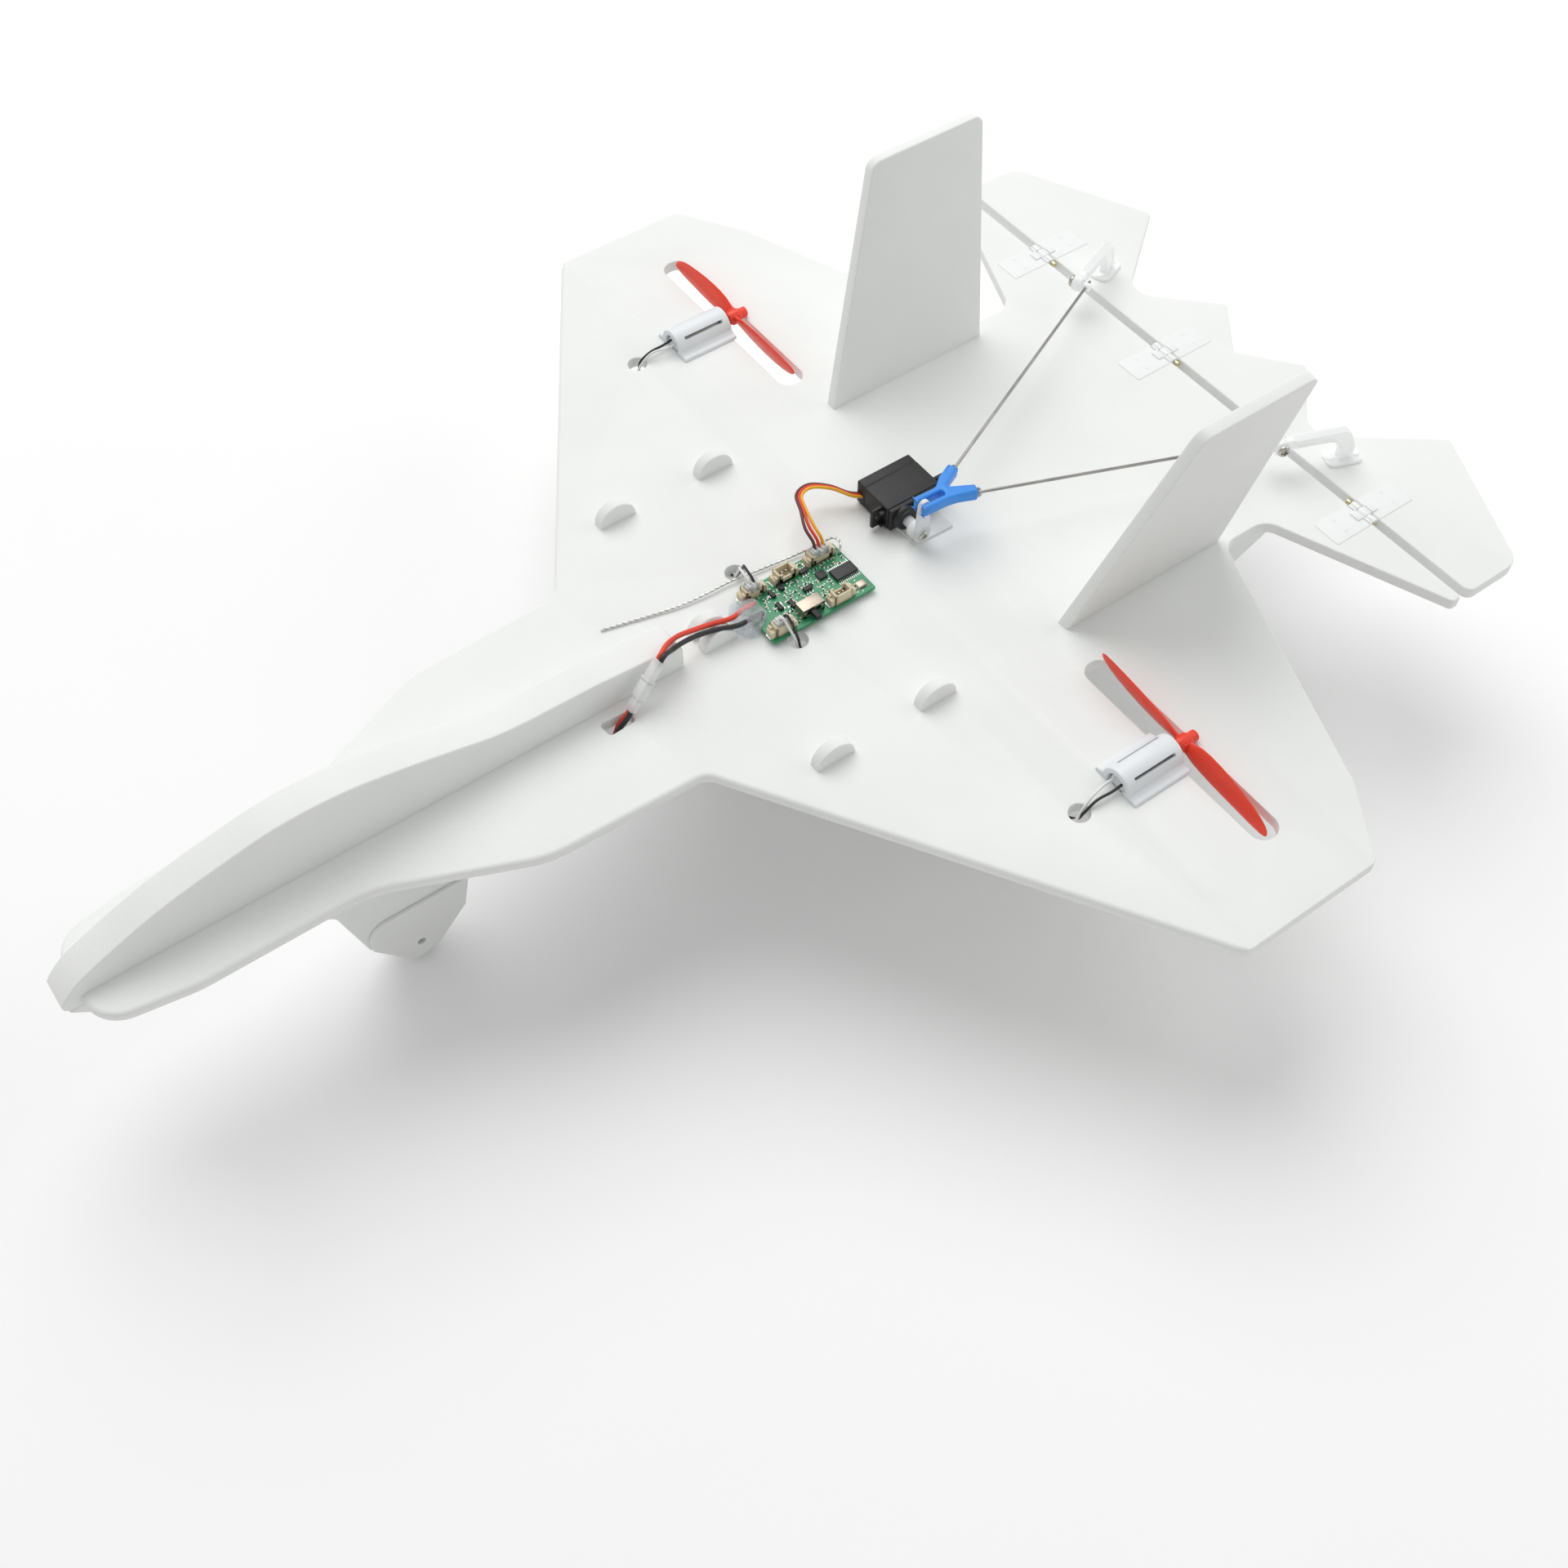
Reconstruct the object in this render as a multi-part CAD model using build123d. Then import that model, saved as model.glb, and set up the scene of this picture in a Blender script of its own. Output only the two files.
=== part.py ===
from build123d import *
import math
import os

# Small twin-motor foam model aeroplane. Millimetres, +Z up, nose towards -Y, port wing towards +X.
# The origin is on the centreline, under the main board, at the wing spar.

BOARD_T = 4.0
HALF_SPAN = 170.0
HINGE_Y = 133.6
HINGE_Z = 3.2
BOARD_TAIL_Y = 132.0
ELEVATOR_FRONT_Y = 135.2
ELEVATOR_HALF = 118.9

KEEL_T = 10.4
KEEL_REAR_Y = -72.0
BELLY_TAB_Y = -58.8
BELLY_TAB_R = 5.9
BELLY_TAB_X = 3.1

NACELLE_X = 56.5
NACELLE_TABS_Y = (-56.4, -19.9)
NACELLE_TAB_R = 6.5

FIN_FOOT_X = 55.5
FIN_CANT = 10.9
FIN_HEIGHT = 76.4

MOTOR_X = 110.6
MOTOR_Z = 5.4
MOUNT_R = 5.0
LEAD_EXIT_Z = 6.6
MOTOR_R = 3.5
CAN_FRONT_Y = 2.4
CAN_REAR_Y = 21.2
CAP_T = 1.0
MOUNT_FRONT_Y = 0.6
MOUNT_REAR_Y = 21.2
SHAFT_R = 0.5
PROP_Y = 26.7
PROP_R = 35.0
SLOT_INNER_X = 72.3
SLOT_OUTER_X = 149.2
SLOT_W = 11.0

LEAD_HOLE_R = 3.2
WING_HOLE = (111.2, -12.8)
BODY_HOLE = (16.2, -39.3)
BATTERY_SLOT = (12.4, -98.8, 7.0, 10.0)
CELL_REAR_Y = -112.0

PCB = (-7.2, 14.6, -46.6, -9.4)
TAPE_T = 1.2
PCB_Z = BOARD_T + TAPE_T
PCB_T = 1.0
PCB_TOP = PCB_Z + PCB_T

SERVO = (-18.6, -3.2, 8.4, 28.4)
SERVO_Z0 = BOARD_T + 0.6
SERVO_H = 8.5
ARM_Y = 13.4
ARM_Z = SERVO_Z0 + SERVO_H / 2
ARM_X = 7.4
OUTPUT_END = ARM_X - 1.2
ARM_LEN = 12.2

HORN_BASE = (56.3, 145.2)
HORN_TURN = 21.5
HORN_T = 3.0
ROD_END = (45.0, 124.7, 14.5)
STOP_REACH = 3.0
STOP_R = 1.15
HORN_SCREWS = (-4.4, 4.4)
ROD_R = 0.5

HINGE_XS = (-76.2, -13.4, 77.0)
LEAF_W = 10.4
LEAF_L = 15.0
LEAF_T = 0.8


def block(x0, x1, y0, y1, z0, z1):
    """Axis-aligned box from its six limits."""
    centre = Pos((x0 + x1) / 2, (y0 + y1) / 2, (z0 + z1) / 2)
    return centre * Box(x1 - x0, y1 - y0, z1 - z0)


def rod_x(x0, x1, y, z, r):
    """Cylinder running along X."""
    return Pos((x0 + x1) / 2, y, z) * Rot(0, 90, 0) * Cylinder(r, x1 - x0)


def rod_y(x, y0, y1, z, r):
    """Cylinder running along Y."""
    return Pos(x, (y0 + y1) / 2, z) * Rot(90, 0, 0) * Cylinder(r, y1 - y0)


def rod_z(x, y, z0, z1, r):
    """Cylinder running along Z."""
    return Pos(x, y, (z0 + z1) / 2) * Cylinder(r, z1 - z0)


def rounded(points, radii):
    """Closed face from corner points, each corner rounded by its own radius (0 leaves it sharp)."""
    count = len(points)
    edges = []
    starts = []
    ends = []
    mids = []
    for i, point in enumerate(points):
        here = Vector(*point)
        before = (Vector(*points[i - 1]) - here).normalized()
        after = (Vector(*points[(i + 1) % count]) - here).normalized()
        radius = radii[i]
        half = before.get_angle(after) / 2
        if radius == 0 or half > 89.5:
            starts.append(here)
            ends.append(here)
            mids.append(None)
            continue
        reach = radius / math.tan(math.radians(half))
        out = radius / math.sin(math.radians(half)) - radius
        starts.append(here + before * reach)
        ends.append(here + after * reach)
        mids.append(here + (before + after).normalized() * out)
    for i in range(count):
        if mids[i] is not None:
            edges.append(ThreePointArc(starts[i], mids[i], ends[i]))
        following = starts[(i + 1) % count]
        if (following - ends[i]).length > 1e-4:
            edges.append(Line(ends[i], following))
    return make_face(edges)


def mirrored(half):
    """Whole outline from the port half, listed from the nose centre to the tail centre."""
    points = [p for p, r in half]
    radii = [r for p, r in half]
    for point, radius in reversed(half):
        if abs(point[0]) > 1e-6:
            points.append((-point[0], point[1]))
            radii.append(radius)
    return rounded(points, radii)


def side_plate(face, x0, thickness):
    """Turns a face drawn as (y, z) into an upright plate starting at x0."""
    plane = Plane(origin=(x0, 0, 0), x_dir=(0, 1, 0), z_dir=(1, 0, 0))
    return extrude(plane * face, thickness)


def wire(points, radius, bend=1.6):
    """Round wire along straight runs joined by bends."""
    path = FilletPolyline(*points, radius=bend)
    section = Plane(origin=path @ 0, z_dir=path % 0) * Circle(radius)
    return sweep(section, path)


def opposite(solid):
    return mirror(solid, about=Plane.YZ)


BOARD_HALF = [
    ((0, -258.6), 0), ((15.5, -257.6), 11), ((19.6, -232), 40), ((19.6, -183), 32),
    ((38.8, -138.5), 32), ((40.5, -88.6), 6), ((HALF_SPAN, -6.2), 4.5),
    ((HALF_SPAN, 41.6), 3), ((147.5, 56.2), 8), ((61.6, 89.3), 6), ((61.6, 106.2), 7),
    ((118.5, 128.5), 1.6), ((118.5, BOARD_TAIL_Y), 1), ((0, BOARD_TAIL_Y), 0),
]

ELEVATOR_HALF_OUTLINE = [
    ((0, ELEVATOR_FRONT_Y), 0), ((ELEVATOR_HALF, ELEVATOR_FRONT_Y), 3),
    ((ELEVATOR_HALF, 156.4), 7), ((70.7, 179.6), 2), ((42.7, 143.7), 8),
    ((18.9, 167.3), 1.5), ((0, 152.4), 1),
]


def fin_solid():
    """Canted fin on the port side with two tabs that pass through the board."""
    outline = rounded(
        [(24.8, -9), (27.0, -2), (50.8, FIN_HEIGHT), (93.0, FIN_HEIGHT), (88.4, 1.0), (84.0, -9)],
        [0, 0, 4, 3, 4, 0],
    )
    plate = side_plate(outline, 0, BOARD_T)
    plate = Pos(FIN_FOOT_X, 0, BOARD_T) * Rot(0, FIN_CANT, 0) * plate
    above = plate & block(40, 90, 0, 110, BOARD_T, 90)
    tabs = plate & (block(40, 80, 35, 47, 0, BOARD_T) + block(40, 80, 66, 78, 0, BOARD_T))
    return above + tabs


def nacelle_plate():
    """Upright plate under the wing whose half-round tabs show above the board."""
    outline = rounded(
        [(-67, 0), (-60, -15), (-46, -18.5), (95, -18.5), (131, 0)],
        [1, 8, 10, 6, 1],
    )
    body = side_plate(outline, NACELLE_X - BOARD_T / 2, BOARD_T)
    body -= block(50, 62, -31.5, -25.5, -3.4, 1)
    for y in NACELLE_TABS_Y:
        disc = rod_x(NACELLE_X - BOARD_T / 2, NACELLE_X + BOARD_T / 2, y, BOARD_T, NACELLE_TAB_R)
        disc &= block(50, 62, y - 9, y + 9, BOARD_T, 12)
        body += disc
        body += block(NACELLE_X - BOARD_T / 2, NACELLE_X + BOARD_T / 2,
                      y - NACELLE_TAB_R, y + NACELLE_TAB_R, 0, BOARD_T)
    return body


def nose_keel():
    """Thick canopy profile that stands on the board along the centreline."""
    crown = Spline((-263.4, 3.0), (-257, 9.6), (-232.6, 20.0), (-210, 25.6), (-188, 28.3),
                   (-165, 25.6), (-143, 20.2), (-124, 16.8), (-100, 16.3))
    edges = [
        crown,
        Line((-100, 16.3), (-75.5, 14.0)),
        ThreePointArc((-75.5, 14.0), (-73.1, 12.9), (KEEL_REAR_Y, 10.4)),
        Line((KEEL_REAR_Y, 10.4), (KEEL_REAR_Y, BOARD_T)),
        Line((KEEL_REAR_Y, BOARD_T), (-258.6, BOARD_T)),
        Line((-258.6, BOARD_T), (-258.6, 0)),
        Line((-258.6, 0), (-262.8, 0)),
        Line((-262.8, 0), (-263.4, 3.0)),
    ]
    keel = side_plate(make_face(edges), -KEEL_T / 2, KEEL_T)
    return keel


def belly_keel():
    """Keel under the board with the deep hand-launch grip and two rear tabs."""
    outline = rounded(
        [(-262.8, 0), (-257, -5.8), (-236, -13), (-200, -19.5), (-191.5, -21.5),
         (-185.2, -46.2), (-173.4, -62.4), (-166.3, -61.0), (-154.1, -48.1),
         (-148.0, -23.0), (-140, -19.5), (-82, -19.5), (-50, 0)],
        [0.5, 3, 20, 20, 5, 1, 4.5, 4.5, 1, 5, 10, 12, 1],
    )
    body = side_plate(outline, -KEEL_T / 2, KEEL_T)
    for sign in (-1, 1):
        x0 = sign * BELLY_TAB_X - BOARD_T / 2
        disc = rod_x(x0, x0 + BOARD_T, BELLY_TAB_Y, BOARD_T, BELLY_TAB_R)
        disc &= block(x0, x0 + BOARD_T, -70, -50, BOARD_T, 12)
        body += disc
        body += block(x0, x0 + BOARD_T, BELLY_TAB_Y - BELLY_TAB_R, BELLY_TAB_Y + BELLY_TAB_R,
                      0, BOARD_T)
    body -= rod_x(-8, 8, -170.2, -54.0, 1.35)
    return body


def skid_plates():
    """Thin facing plates glued to both sides of the launch grip."""
    outline = rounded(
        [(-184.6, -46.0), (-184.6, -35.6), (-151.2, -35.6), (-154.2, -47.9),
         (-166.3, -60.7), (-173.4, -62.0)],
        [1, 6, 1, 1, 4.5, 4.5],
    )
    port = side_plate(outline, KEEL_T / 2, 1.2)
    port -= rod_x(-8, 8, -170.2, -54.0, 1.35)
    return port + opposite(port)


def main_board():
    """One foam sheet: nose, strakes, wings and fixed tail, with every slot and hole."""
    board = extrude(mirrored(BOARD_HALF), BOARD_T)
    slot_len = SLOT_OUTER_X - SLOT_INNER_X
    for sign in (-1, 1):
        slot = SlotOverall(slot_len, SLOT_W)
        centre = sign * (SLOT_INNER_X + slot_len / 2)
        board -= Pos(centre, PROP_Y, -1) * extrude(slot, 6)
        board -= rod_z(sign * WING_HOLE[0], WING_HOLE[1], -1, 5, LEAD_HOLE_R)
        board -= rod_z(sign * BODY_HOLE[0], BODY_HOLE[1], -1, 5, LEAD_HOLE_R)
        for y in NACELLE_TABS_Y:
            x0 = sign * NACELLE_X - BOARD_T / 2
            board -= block(x0, x0 + BOARD_T, y - NACELLE_TAB_R, y + NACELLE_TAB_R, -1, 5)
        x0 = sign * BELLY_TAB_X - BOARD_T / 2
        board -= block(x0, x0 + BOARD_T, BELLY_TAB_Y - BELLY_TAB_R, BELLY_TAB_Y + BELLY_TAB_R, -1, 5)
    slot_x, slot_y, slot_w, slot_l = BATTERY_SLOT
    opening = Pos(slot_x, slot_y, -1) * extrude(RectangleRounded(slot_w, slot_l, 1.4), 6)
    board -= opening
    board -= rod_x(-156, 156, 0, BOARD_T / 2, 1.0)
    well = block(MOTOR_X - 3.9, MOTOR_X + 3.9, 1.2, 22, -1, BOARD_T + 1)
    board -= well
    board -= opposite(well)
    port_fin = fin_solid()
    board -= port_fin
    board -= opposite(port_fin)
    for x in HINGE_XS:
        board -= block(x - LEAF_W / 2, x + LEAF_W / 2, HINGE_Y - 1.6 - LEAF_L, 133, BOARD_T - LEAF_T, 5)
        for sign in (-1, 1):
            board -= rod_z(x + sign * 2.6, HINGE_Y - 10.5, 1.0, 4, 0.4)
    return board


def elevator():
    """Moving tail surface with the saw-tooth trailing edge."""
    board = extrude(mirrored(ELEVATOR_HALF_OUTLINE), BOARD_T)
    for x in HINGE_XS:
        board -= block(x - LEAF_W / 2, x + LEAF_W / 2, 134, HINGE_Y + 1.6 + LEAF_L, BOARD_T - LEAF_T, 5)
        for sign in (-1, 1):
            board -= rod_z(x + sign * 2.6, HINGE_Y + 10.5, 1.0, 4, 0.4)
    turn = math.radians(HORN_TURN)
    for sign in (-1, 1):
        for dy in HORN_SCREWS:
            board -= rod_z(sign * (HORN_BASE[0] + dy * math.sin(turn)),
                           HORN_BASE[1] + dy * math.cos(turn), -1, 5, 0.55)
    return board


def hinge_half(direction):
    """Leaves and knuckles of the three hinges; direction is -1 for the board side."""
    group = []
    for x in HINGE_XS:
        inner = HINGE_Y + direction * 1.2
        outer = HINGE_Y + direction * (1.6 + LEAF_L)
        leaf = block(x - LEAF_W / 2, x + LEAF_W / 2, min(inner, outer), max(inner, outer),
                     BOARD_T - LEAF_T, BOARD_T)
        if direction < 0:
            spans = ((-4.8, -1.7), (1.7, 4.8))
            gaps = ((-1.7, 1.7),)
        else:
            spans = ((-1.5, 1.5),)
            gaps = ((-4.8, -1.5), (1.5, 4.8))
        for a, b in gaps:
            leaf -= rod_x(x + a, x + b, HINGE_Y, HINGE_Z, 1.55)
        for a, b in spans:
            leaf += rod_x(x + a, x + b, HINGE_Y, HINGE_Z, 1.35)
        leaf -= rod_x(x - 6, x + 6, HINGE_Y, HINGE_Z, 0.45)
        for sign in (-1, 1):
            leaf -= rod_z(x + sign * 2.6, HINGE_Y + direction * 10.5, 3, 5, 0.4)
        group.append(leaf)
    return Compound(children=group)


def hinge_pins():
    return Compound(children=[rod_x(x - 4.9, x + 4.9, HINGE_Y, HINGE_Z, 0.4) for x in HINGE_XS])


def leaf_screws(direction):
    """Small domed screws that hold the hinge leaves."""
    group = []
    for x in HINGE_XS:
        for sign in (-1, 1):
            y = HINGE_Y + direction * 10.5
            shank = rod_z(x + sign * 2.6, y, 1.0, BOARD_T, 0.4)
            head = rod_z(x + sign * 2.6, y, BOARD_T, BOARD_T + 0.45, 0.85)
            head = fillet(head.edges().sort_by(Axis.Z)[-1], 0.3)
            head -= block(x + sign * 2.6 - 0.7, x + sign * 2.6 + 0.7, y - 0.1, y + 0.1, 4.25, 5)
            group.append(shank + head)
    return Compound(children=group)


def motor_mount():
    """Plastic cradle: arched tube on two flanges with cooling slits."""
    x = MOTOR_X
    tube = rod_y(x, MOUNT_FRONT_Y, MOUNT_REAR_Y, MOTOR_Z, MOUNT_R)
    flanges = block(x - 9.5, x + 9.5, MOUNT_FRONT_Y, MOUNT_REAR_Y, BOARD_T, BOARD_T + 1.1)
    top_edges = flanges.edges().filter_by(Axis.Y).sort_by(Axis.Z)[-2:]
    flanges = chamfer(top_edges, 0.6)
    mount = tube + flanges
    mount -= rod_y(x, MOUNT_FRONT_Y - 1, MOUNT_REAR_Y + 1, MOTOR_Z, MOTOR_R)
    mount &= block(x - 10, x + 10, 0, 22, BOARD_T, 20)
    for turn in (-41, 41):
        slit = Pos(x, 11.2, MOTOR_Z) * Rot(0, turn, 0) * Pos(0, 0, 4) * Box(0.8, 15.4, 4)
        mount -= slit
    return mount


def motor_can():
    """Coreless motor body with rear bearing boss and clearance for the shaft."""
    can = rod_y(MOTOR_X, CAN_FRONT_Y, CAN_REAR_Y, MOTOR_Z, MOTOR_R)
    can = fillet(can.edges(), 0.35)
    can += rod_y(MOTOR_X, CAN_REAR_Y, CAN_REAR_Y + 1.1, MOTOR_Z, 1.5)
    can += rod_y(MOTOR_X, CAN_FRONT_Y - CAP_T, CAN_FRONT_Y, MOTOR_Z, 2.9)
    can -= rod_y(MOTOR_X, 8, CAN_REAR_Y + 2, MOTOR_Z, SHAFT_R + 0.05)
    return can


def motor_shaft():
    return rod_y(MOTOR_X, 8.2, 29.5, MOTOR_Z, SHAFT_R)


def blade_section(chord, thick):
    """Flat aerofoil stand-in: a bar with both long edges bevelled."""
    c, t, edge = chord / 2, thick / 2, 0.1
    half = [(-c, -edge), (-c * 0.6, -t), (c * 0.6, -t), (c, -edge)]
    other = [(-x, -y) for x, y in half]
    return make_face(Polyline(*half, *other, close=True))


def starboard_propeller():
    """Two-blade propeller about its own axis, with a collar and a forward sleeve."""
    hub = rod_y(0, 23.2, 28.4, 0, 2.3)
    hub = fillet(hub.edges().sort_by(Axis.Y)[-1], 0.9)
    nose = rod_y(0, 28.0, 30.4, 0, 1.75)
    nose = fillet(nose.edges().sort_by(Axis.Y)[-1], 0.25)
    stations = (
        (1.2, 3.8, 1.6, 26), (6.0, 6.6, 1.3, 16), (11.0, 7.5, 1.15, 13), (17.0, 7.6, 0.95, 10.5),
        (24.0, 7.0, 0.8, 9), (30.0, 5.4, 0.65, 8), (33.4, 3.6, 0.55, 8), (35.0, 1.8, 0.45, 8),
    )
    sections = []
    for radius, chord, thick, twist in stations:
        plane = Plane(origin=(radius, 25.9, 0), x_dir=(0, 1, 0), z_dir=(1, 0, 0))
        sections.append(plane * Rot(0, 0, twist - 90) * blade_section(chord, thick))
    blade = loft(sections, ruled=True)
    prop = hub + nose + blade + Rot(0, 180, 0) * blade
    prop -= rod_y(0, 20, 29.5, 0, SHAFT_R)
    return prop


def receiver_board():
    x0, x1, y0, y1 = PCB
    board = block(x0, x1, y0, y1, PCB_Z, PCB_TOP)
    corner = board.edges().filter_by(Axis.Z).group_by(Axis.Y)[0].sort_by(Axis.X)[0]
    board = chamfer(corner, 2.6)
    board = fillet(board.edges().filter_by(Axis.Z).group_by(Axis.Y)[-1], 0.4)
    return board


def receiver_tape():
    x0, x1, y0, y1 = PCB
    return block(x0 + 0.8, x1 - 3.2, y0 + 3.4, y1 - 0.8, BOARD_T, PCB_Z)


def chip_package(x, y, wide, long, high, pins, pitch):
    """Flat package with rows of gull-wing pins along both long sides."""
    body = block(x - wide / 2, x + wide / 2, y - long / 2, y + long / 2, PCB_TOP + 0.1, PCB_TOP + high)
    body = chamfer(body.faces().sort_by(Axis.Z)[-1].edges(), 0.12)
    legs = []
    for i in range(pins):
        py = y + (i - (pins - 1) / 2) * pitch
        for sign in (-1, 1):
            foot_a = x + sign * (wide / 2 + 0.35)
            foot_b = x + sign * (wide / 2 + 1.0)
            knee = x + sign * wide / 2
            legs.append(block(min(foot_a, foot_b), max(foot_a, foot_b), py - pitch * 0.19,
                              py + pitch * 0.19, PCB_TOP, PCB_TOP + 0.15))
            legs.append(block(min(knee, foot_a), max(knee, foot_a), py - pitch * 0.19,
                              py + pitch * 0.19, PCB_TOP, PCB_TOP + high * 0.6))
    return body, legs


def transistor_spots():
    return [(-1.0, -27.2), (0.6, -38.2), (4.0, -33.6), (6.2, -41.0), (6.4, -26.6), (8.5, -37.2)]


def board_parts():
    """Returns bodies and metal legs of every surface-mounted package."""
    bodies = []
    legs = []
    body, pins = chip_package(4.4, -13.8, 4.4, 7.8, 1.1, 12, 0.65)
    bodies.append(body)
    legs += pins
    flat = block(1.2, 4.2, -23.4, -20.4, PCB_TOP, PCB_TOP + 0.85)
    bodies.append(chamfer(flat.faces().sort_by(Axis.Z)[-1].edges(), 0.1))
    for x, y in transistor_spots():
        small = block(x - 0.7, x + 0.7, y - 1.45, y + 1.45, PCB_TOP + 0.1, PCB_TOP + 1.05)
        bodies.append(chamfer(small.faces().sort_by(Axis.Z)[-1].edges(), 0.12))
        legs.append(block(x + 0.7, x + 1.3, y - 1.15, y - 0.75, PCB_TOP, PCB_TOP + 0.4))
        legs.append(block(x + 0.7, x + 1.3, y + 0.75, y + 1.15, PCB_TOP, PCB_TOP + 0.4))
        legs.append(block(x - 1.3, x - 0.7, y - 0.2, y + 0.2, PCB_TOP, PCB_TOP + 0.4))
    return bodies, legs


def chip_bodies():
    return Compound(children=board_parts()[0])


def chip_legs():
    """Legs, fused where neighbouring blocks of one leg touch."""
    legs = board_parts()[1]
    shape = legs[0]
    for leg in legs[1:]:
        shape += leg
    return shape


def passive_parts():
    """Resistors and capacitors scattered over the board."""
    spots = [
        (-3.6, -22.6), (-3.6, -24.2), (0.2, -17.4), (-1.6, -19.6), (0.8, -25.4), (2.6, -26.2),
        (4.0, -25.2), (6.0, -22.4), (7.6, -20.2), (9.0, -12.2), (8.9, -15.0), (-2.4, -12.0),
        (-0.4, -10.8), (2.8, -30.0), (-0.6, -31.4), (1.0, -34.2), (4.8, -37.6), (7.2, -33.6),
    ]
    group = []
    for i, (x, y) in enumerate(spots):
        if i % 2:
            wide, long = 0.5, 1.0
        else:
            wide, long = 1.0, 0.5
        group.append(block(x - wide / 2, x + wide / 2, y - long / 2, y + long / 2,
                           PCB_TOP, PCB_TOP + 0.45))
    return Compound(children=group)


def crystal_can():
    can = block(10.2, 12.7, -14.2, -11.0, PCB_TOP, PCB_TOP + 0.8)
    return chamfer(can.faces().sort_by(Axis.Z)[-1].edges(), 0.15)


def socket_shell(x, y, poles, face):
    """Open-top wire socket with side ears; face +1 puts the ear ledge towards port."""
    long = 4.6 + 1.5 * (poles - 1)
    shell = block(x - 1.9, x + 1.9, y - long / 2, y + long / 2, PCB_TOP, PCB_TOP + 4.0)
    shell -= block(x - 1.3, x + 1.3, y - long / 2 + 0.7, y + long / 2 - 0.7, PCB_TOP + 0.8, PCB_TOP + 5)
    shell -= block(x - face * 1.6 - 0.9, x - face * 1.6 + 0.9, y - 0.8, y + 0.8, PCB_TOP + 2.4, PCB_TOP + 5)
    for sign in (-1, 1):
        end = y + sign * (long / 2 + 0.75)
        shell += block(x - 1.3, x + 1.3, end - 0.75, end + 0.75, PCB_TOP, PCB_TOP + 2.4)
    return shell


def socket_pins(x, y, poles):
    return [block(x - 0.2, x + 0.2, y + (i - (poles - 1) / 2) * 1.5 - 0.2,
                  y + (i - (poles - 1) / 2) * 1.5 + 0.2, PCB_TOP + 0.8, PCB_TOP + 2.2)
            for i in range(poles)]


MOTOR_SOCKETS = ((-4.6, -41.2, 2, -1), (11.9, -42.0, 2, 1))
SPARE_SOCKETS = ((-4.4, -29.6, 2, -1), (12.1, -20.6, 2, 1))
SERVO_SOCKET = (-4.6, -16.4, 3, -1)


def sockets():
    shells = [socket_shell(*spot) for spot in MOTOR_SOCKETS + SPARE_SOCKETS + (SERVO_SOCKET,)]
    return Compound(children=shells)


def bare_pins():
    pins = []
    for x, y, poles, face in SPARE_SOCKETS:
        pins += socket_pins(x, y, poles)
    return pins


def plug_body(x, y, poles):
    """White plug seated in its socket, with a ridge on the outer face and blind wire ports."""
    long = 4.6 + 1.5 * (poles - 1) - 1.4
    body = block(x - 1.3, x + 1.3, y - long / 2, y + long / 2, PCB_TOP + 0.8, PCB_TOP + 5.4)
    body = chamfer(body.faces().sort_by(Axis.Z)[-1].edges(), 0.2)
    for i in range(poles):
        py = y + (i - (poles - 1) / 2) * 1.5
        body -= rod_z(x, py, PCB_TOP + 4.2, PCB_TOP + 6, 0.5)
    return body


def plugs():
    return Compound(children=[plug_body(x, y, poles)
                              for x, y, poles, face in MOTOR_SOCKETS + (SERVO_SOCKET,)])


SWITCH = (8.2, 12.4, -35.0, -27.2)


def switch_can():
    x0, x1, y0, y1 = SWITCH
    can = block(x0, x1, y0, y1, PCB_TOP, PCB_TOP + 3.5)
    can = fillet(can.edges().filter_by(Axis.Y).sort_by(Axis.Z)[-2:], 0.4)
    can -= block(x1 - 2.6, x1 + 1, y0 + 1.4, y1 - 0.7, PCB_TOP + 1.0, PCB_TOP + 2.8)
    return can


def switch_lever():
    x1 = SWITCH[1]
    lever = block(x1 - 1.6, x1 + 3.8, -32.2, -30.3, PCB_TOP + 1.1, PCB_TOP + 2.7)
    return fillet(lever.edges().filter_by(Axis.Z).sort_by(Axis.X)[-2:], 0.5)


def antenna_wire():
    """Stiff aerial that leaves the rear corner of the receiver and lies along the nose."""
    return wire([
        (-5.2, -10.6, PCB_TOP + 0.45), (-8.2, -10.6, PCB_TOP + 0.45), (-9.4, -22.0, PCB_TOP + 0.4),
        (-14.0, -55.0, 5.4), (-18.9, -84.8, 4.6),
    ], 0.42)


def motor_leads():
    """White and black lead of each motor, down through the wing and up to the receiver."""
    strands = []
    for side in (1, -1):
        socket = MOTOR_SOCKETS[1] if side == 1 else MOTOR_SOCKETS[0]
        for offset in (-0.75, 0.75):
            strands.append(wire([
                (side * (MOTOR_X + offset * 1.6), CAN_FRONT_Y - CAP_T, LEAD_EXIT_Z),
                (side * (MOTOR_X + offset * 1.6), -4.4, LEAD_EXIT_Z),
                (side * WING_HOLE[0], WING_HOLE[1] + offset, 4.6 - offset * 1.4),
                (side * WING_HOLE[0], WING_HOLE[1] + offset, -1.6),
                (side * 56.5, -28.5 + offset, -1.6),
                (side * BODY_HOLE[0], BODY_HOLE[1] + offset, -1.6),
                (side * BODY_HOLE[0], BODY_HOLE[1] + offset, 8.4),
                (side * 0.5 * (BODY_HOLE[0] + abs(socket[0])), -41.0 + offset, 14.6),
                (socket[0], socket[1] + offset, PCB_TOP + 7.4),
                (socket[0], socket[1] + offset, PCB_TOP + 4.2),
            ], 0.42))
    return strands


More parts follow.
